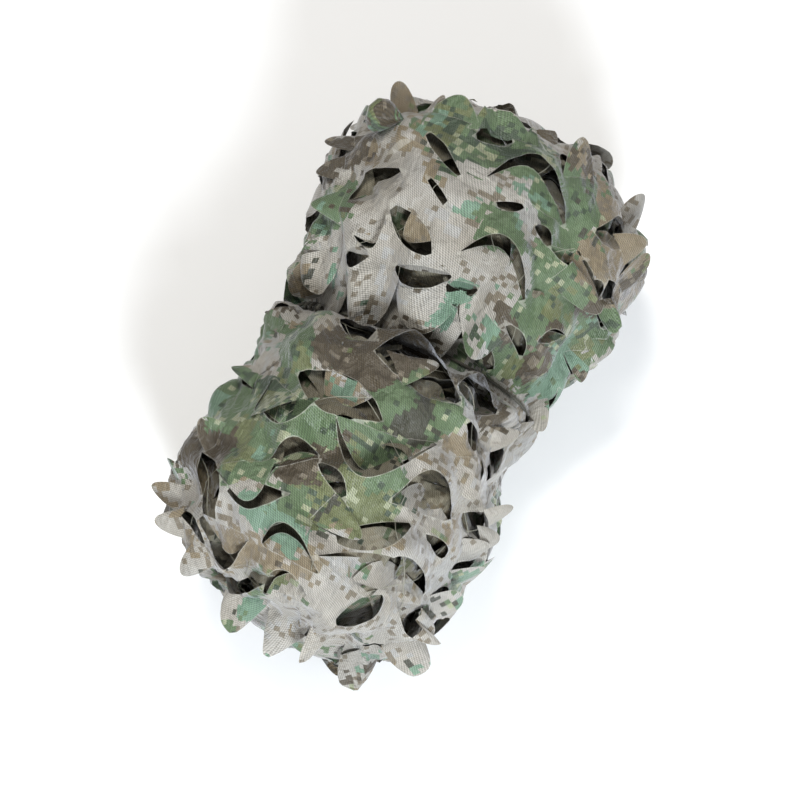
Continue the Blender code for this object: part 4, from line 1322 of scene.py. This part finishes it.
def tube_mesh(name, grids, material):
    """Tubes closed at both ends, with a UV map of metres along and around each."""
    points, faces, uvs = [], [], []
    for grid, run in grids:
        base = sum(len(block) for block in points)
        rings, sides = grid.shape[:2]
        i, j = np.meshgrid(np.arange(rings - 1), np.arange(sides), indexing="ij")
        quads = ring_quads(rings, sides)
        around = np.stack([j, j + 1, j + 1, j], axis=-1).reshape(-1, 4) * SIDE_UV
        length = np.stack([run[i], run[i], run[i + 1], run[i + 1]], axis=-1).reshape(-1, 4)
        uvs.append(np.stack([length, around], axis=-1).reshape(-1, 2))
        faces += (quads + base).tolist()
        faces += [list(range(base, base + sides))[::-1],
                  list(range(base + (rings - 1) * sides, base + rings * sides))]
        uvs.append(np.zeros((2 * sides, 2)))
        points.append(grid.reshape(-1, 3))
    return mesh_object(name, np.concatenate(points), faces, np.concatenate(uvs), material)


# %% Cord materials
FIBRES = 900.0          # noise scale


def cord_material(name, dark, light, roughness):
    """Fibres of a cord: streaks of noise stretched along it mix two tones and give a bump."""
    material, tree, shader = new_material(name)
    streaks = noise_at(tree, cloth_places(tree), FIBRES, 3.0)
    tree.links.new(blend_colours(tree, streaks, dark, light), shader.inputs["Base Color"])
    tree.links.new(maths(tree, "ADD", roughness, maths(tree, "MULTIPLY", streaks, 0.2)),
                   shader.inputs["Roughness"])
    bump(tree, streaks, 0.4, 0.0004, shader)
    shader.inputs["Sheen Weight"].default_value = 0.15
    return material


TIE_FIBRE = cord_material("dark laid cord", (0.030, 0.030, 0.022, 1),
                          (0.085, 0.080, 0.060, 1), 0.6)
NET_FIBRE = cord_material("pale netting cord", (0.20, 0.20, 0.15, 1),
                          (0.38, 0.37, 0.30, 1), 0.6)

# %% The laid cord
STRANDS, STRAND_RADIUS, STRAND_OUT, LAY_TURNS = 3, 0.00096, 0.00082, 95.0
STRAND_SIDES, CORD_STEP = 7, 0.0012
tie_line, tie_length = along_path(tie_path(), CORD_STEP)
strands = [tube_grid(tie_line, STRAND_RADIUS, STRAND_SIDES, LAY_TURNS, STRAND_OUT,
                     strand / STRANDS) for strand in range(STRANDS)]
tie = tube_mesh("tie_cord", strands, TIE_FIBRE)
print(f"The tie is {tie_length:.3f} m long")

# %% [markdown]
# ## The netting
# The cut cloth is stitched to a wide mesh of thin cord. It shows only where it crosses an
# opening. Its lines run slantwise over the surface, just under the outer turn.

# %% Netting cords
NET_LINES, NET_SINK, NET_RADIUS, NET_SLANT = 8, 0.0036, 0.00034, 300.0
NET_FROM_TIE, NET_FROM_END = 0.012, 0.035       # where its cords stop
NET_STEP, NET_SIDES, NET_CLEAR = 0.006, 4, 0.004
net_grids = []
for way in (-1, 1):
    for line in range(NET_LINES):
        start = 360 / NET_LINES * line
        for low, high in ((NET_FROM_END, WAIST - NET_FROM_TIE),
                          (WAIST + NET_FROM_TIE, FULL_LENGTH - NET_FROM_END)):
            along = np.arange(low, high, NET_STEP)
            angle = start + way * NET_SLANT * (along - low) + 4 * np.sin(along * 60 + line)
            height = folds(along, angle) - NET_SINK - drawn_in(along, angle)
            path = plain_surface(along, angle) + outward(along, angle) * height[:, None]
            path[:, 2] = np.maximum(path[:, 2], NET_CLEAR)
            net_grids.append(tube_grid(path + PLACE, NET_RADIUS, NET_SIDES))
netting = tube_mesh("netting_cords", net_grids, NET_FIBRE)
print(len(net_grids), "netting cords,", len(netting.data.polygons), "faces")

# %% [markdown]
# ## The pieces on the body
# Each turn says the size it was cut to, and everything rides on the one body of the CAD model.

# %% Attaching the pieces
def flat_size(turn):
    """The flat size of a turn: once around at its own depth, by the way from end to end."""
    return 2 * np.pi * (RADIUS - turn.sink), FULL_LENGTH - 2 * turn.sink


FINISHES = (
    (outer, "camouflage_cloth"), (second, "camouflage_cloth"),
    (third, "camouflage_cloth"), (deep, "camouflage_cloth"),
    (netting, "camouflage_cloth"), (tie, "dark_cord"),
)
for piece, finish in FINISHES:
    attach(piece, "root")
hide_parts("net_bundle")
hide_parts("waist_tie")
for turn in (outer_turn, second_turn, third_turn):
    print("Flat size of a turn in metres:", [round(float(side), 3) for side in flat_size(turn)])

# %% [markdown]
# ## Floor and light
# A pale floor, a large soft light overhead and another low at one side, which brings out the
# sheen on the cloth that bends away from it.

# %% Stage
LOOK_AT = Vector((0, 0, 0.13))
FLOOR_HALF, FLOOR_INK = 6.0, (0.95, 0.95, 0.95, 1)
SKY = 0.34              # how strong the even light from all around is


def area_light(name, place, size, power, colour):
    """A square soft light at a place, aimed at the middle of the roll."""
    data = bpy.data.lights.new(name, "AREA")
    data.size, data.energy, data.color = size, power, colour
    light = bpy.data.objects.new(name, data)
    bpy.context.scene.collection.objects.link(light)
    light.location = place
    light.rotation_euler = (LOOK_AT - light.location).to_track_quat("-Z", "Y").to_euler()


floor_mesh = bpy.data.meshes.new("floor")
floor_mesh.from_pydata([(x * FLOOR_HALF, y * FLOOR_HALF, 0)
                        for x, y in ((-1, -1), (1, -1), (1, 1), (-1, 1))], [], [(0, 1, 2, 3)])
floor_paint, _, floor_shader = new_material("pale floor")
floor_shader.inputs["Base Color"].default_value = FLOOR_INK
floor_shader.inputs["Roughness"].default_value = 0.9
floor_mesh.materials.append(floor_paint)
floor = bpy.data.objects.new("floor", floor_mesh)
bpy.context.scene.collection.objects.link(floor)

area_light("overhead", (0.6, 0.75, 3.3), 1.05, 69, (1.0, 0.98, 0.94))
area_light("low_side", (-1.45, -1.05, 1.45), 0.5, 56, (0.90, 0.95, 1.0))
world = bpy.data.worlds.new("studio")
world.use_nodes = True
sky = world.node_tree.nodes["Background"]
sky.inputs["Color"].default_value = (1, 1, 1, 1)
sky.inputs["Strength"].default_value = SKY
bpy.context.scene.world = world
bpy.context.scene.view_settings.view_transform = "Standard"
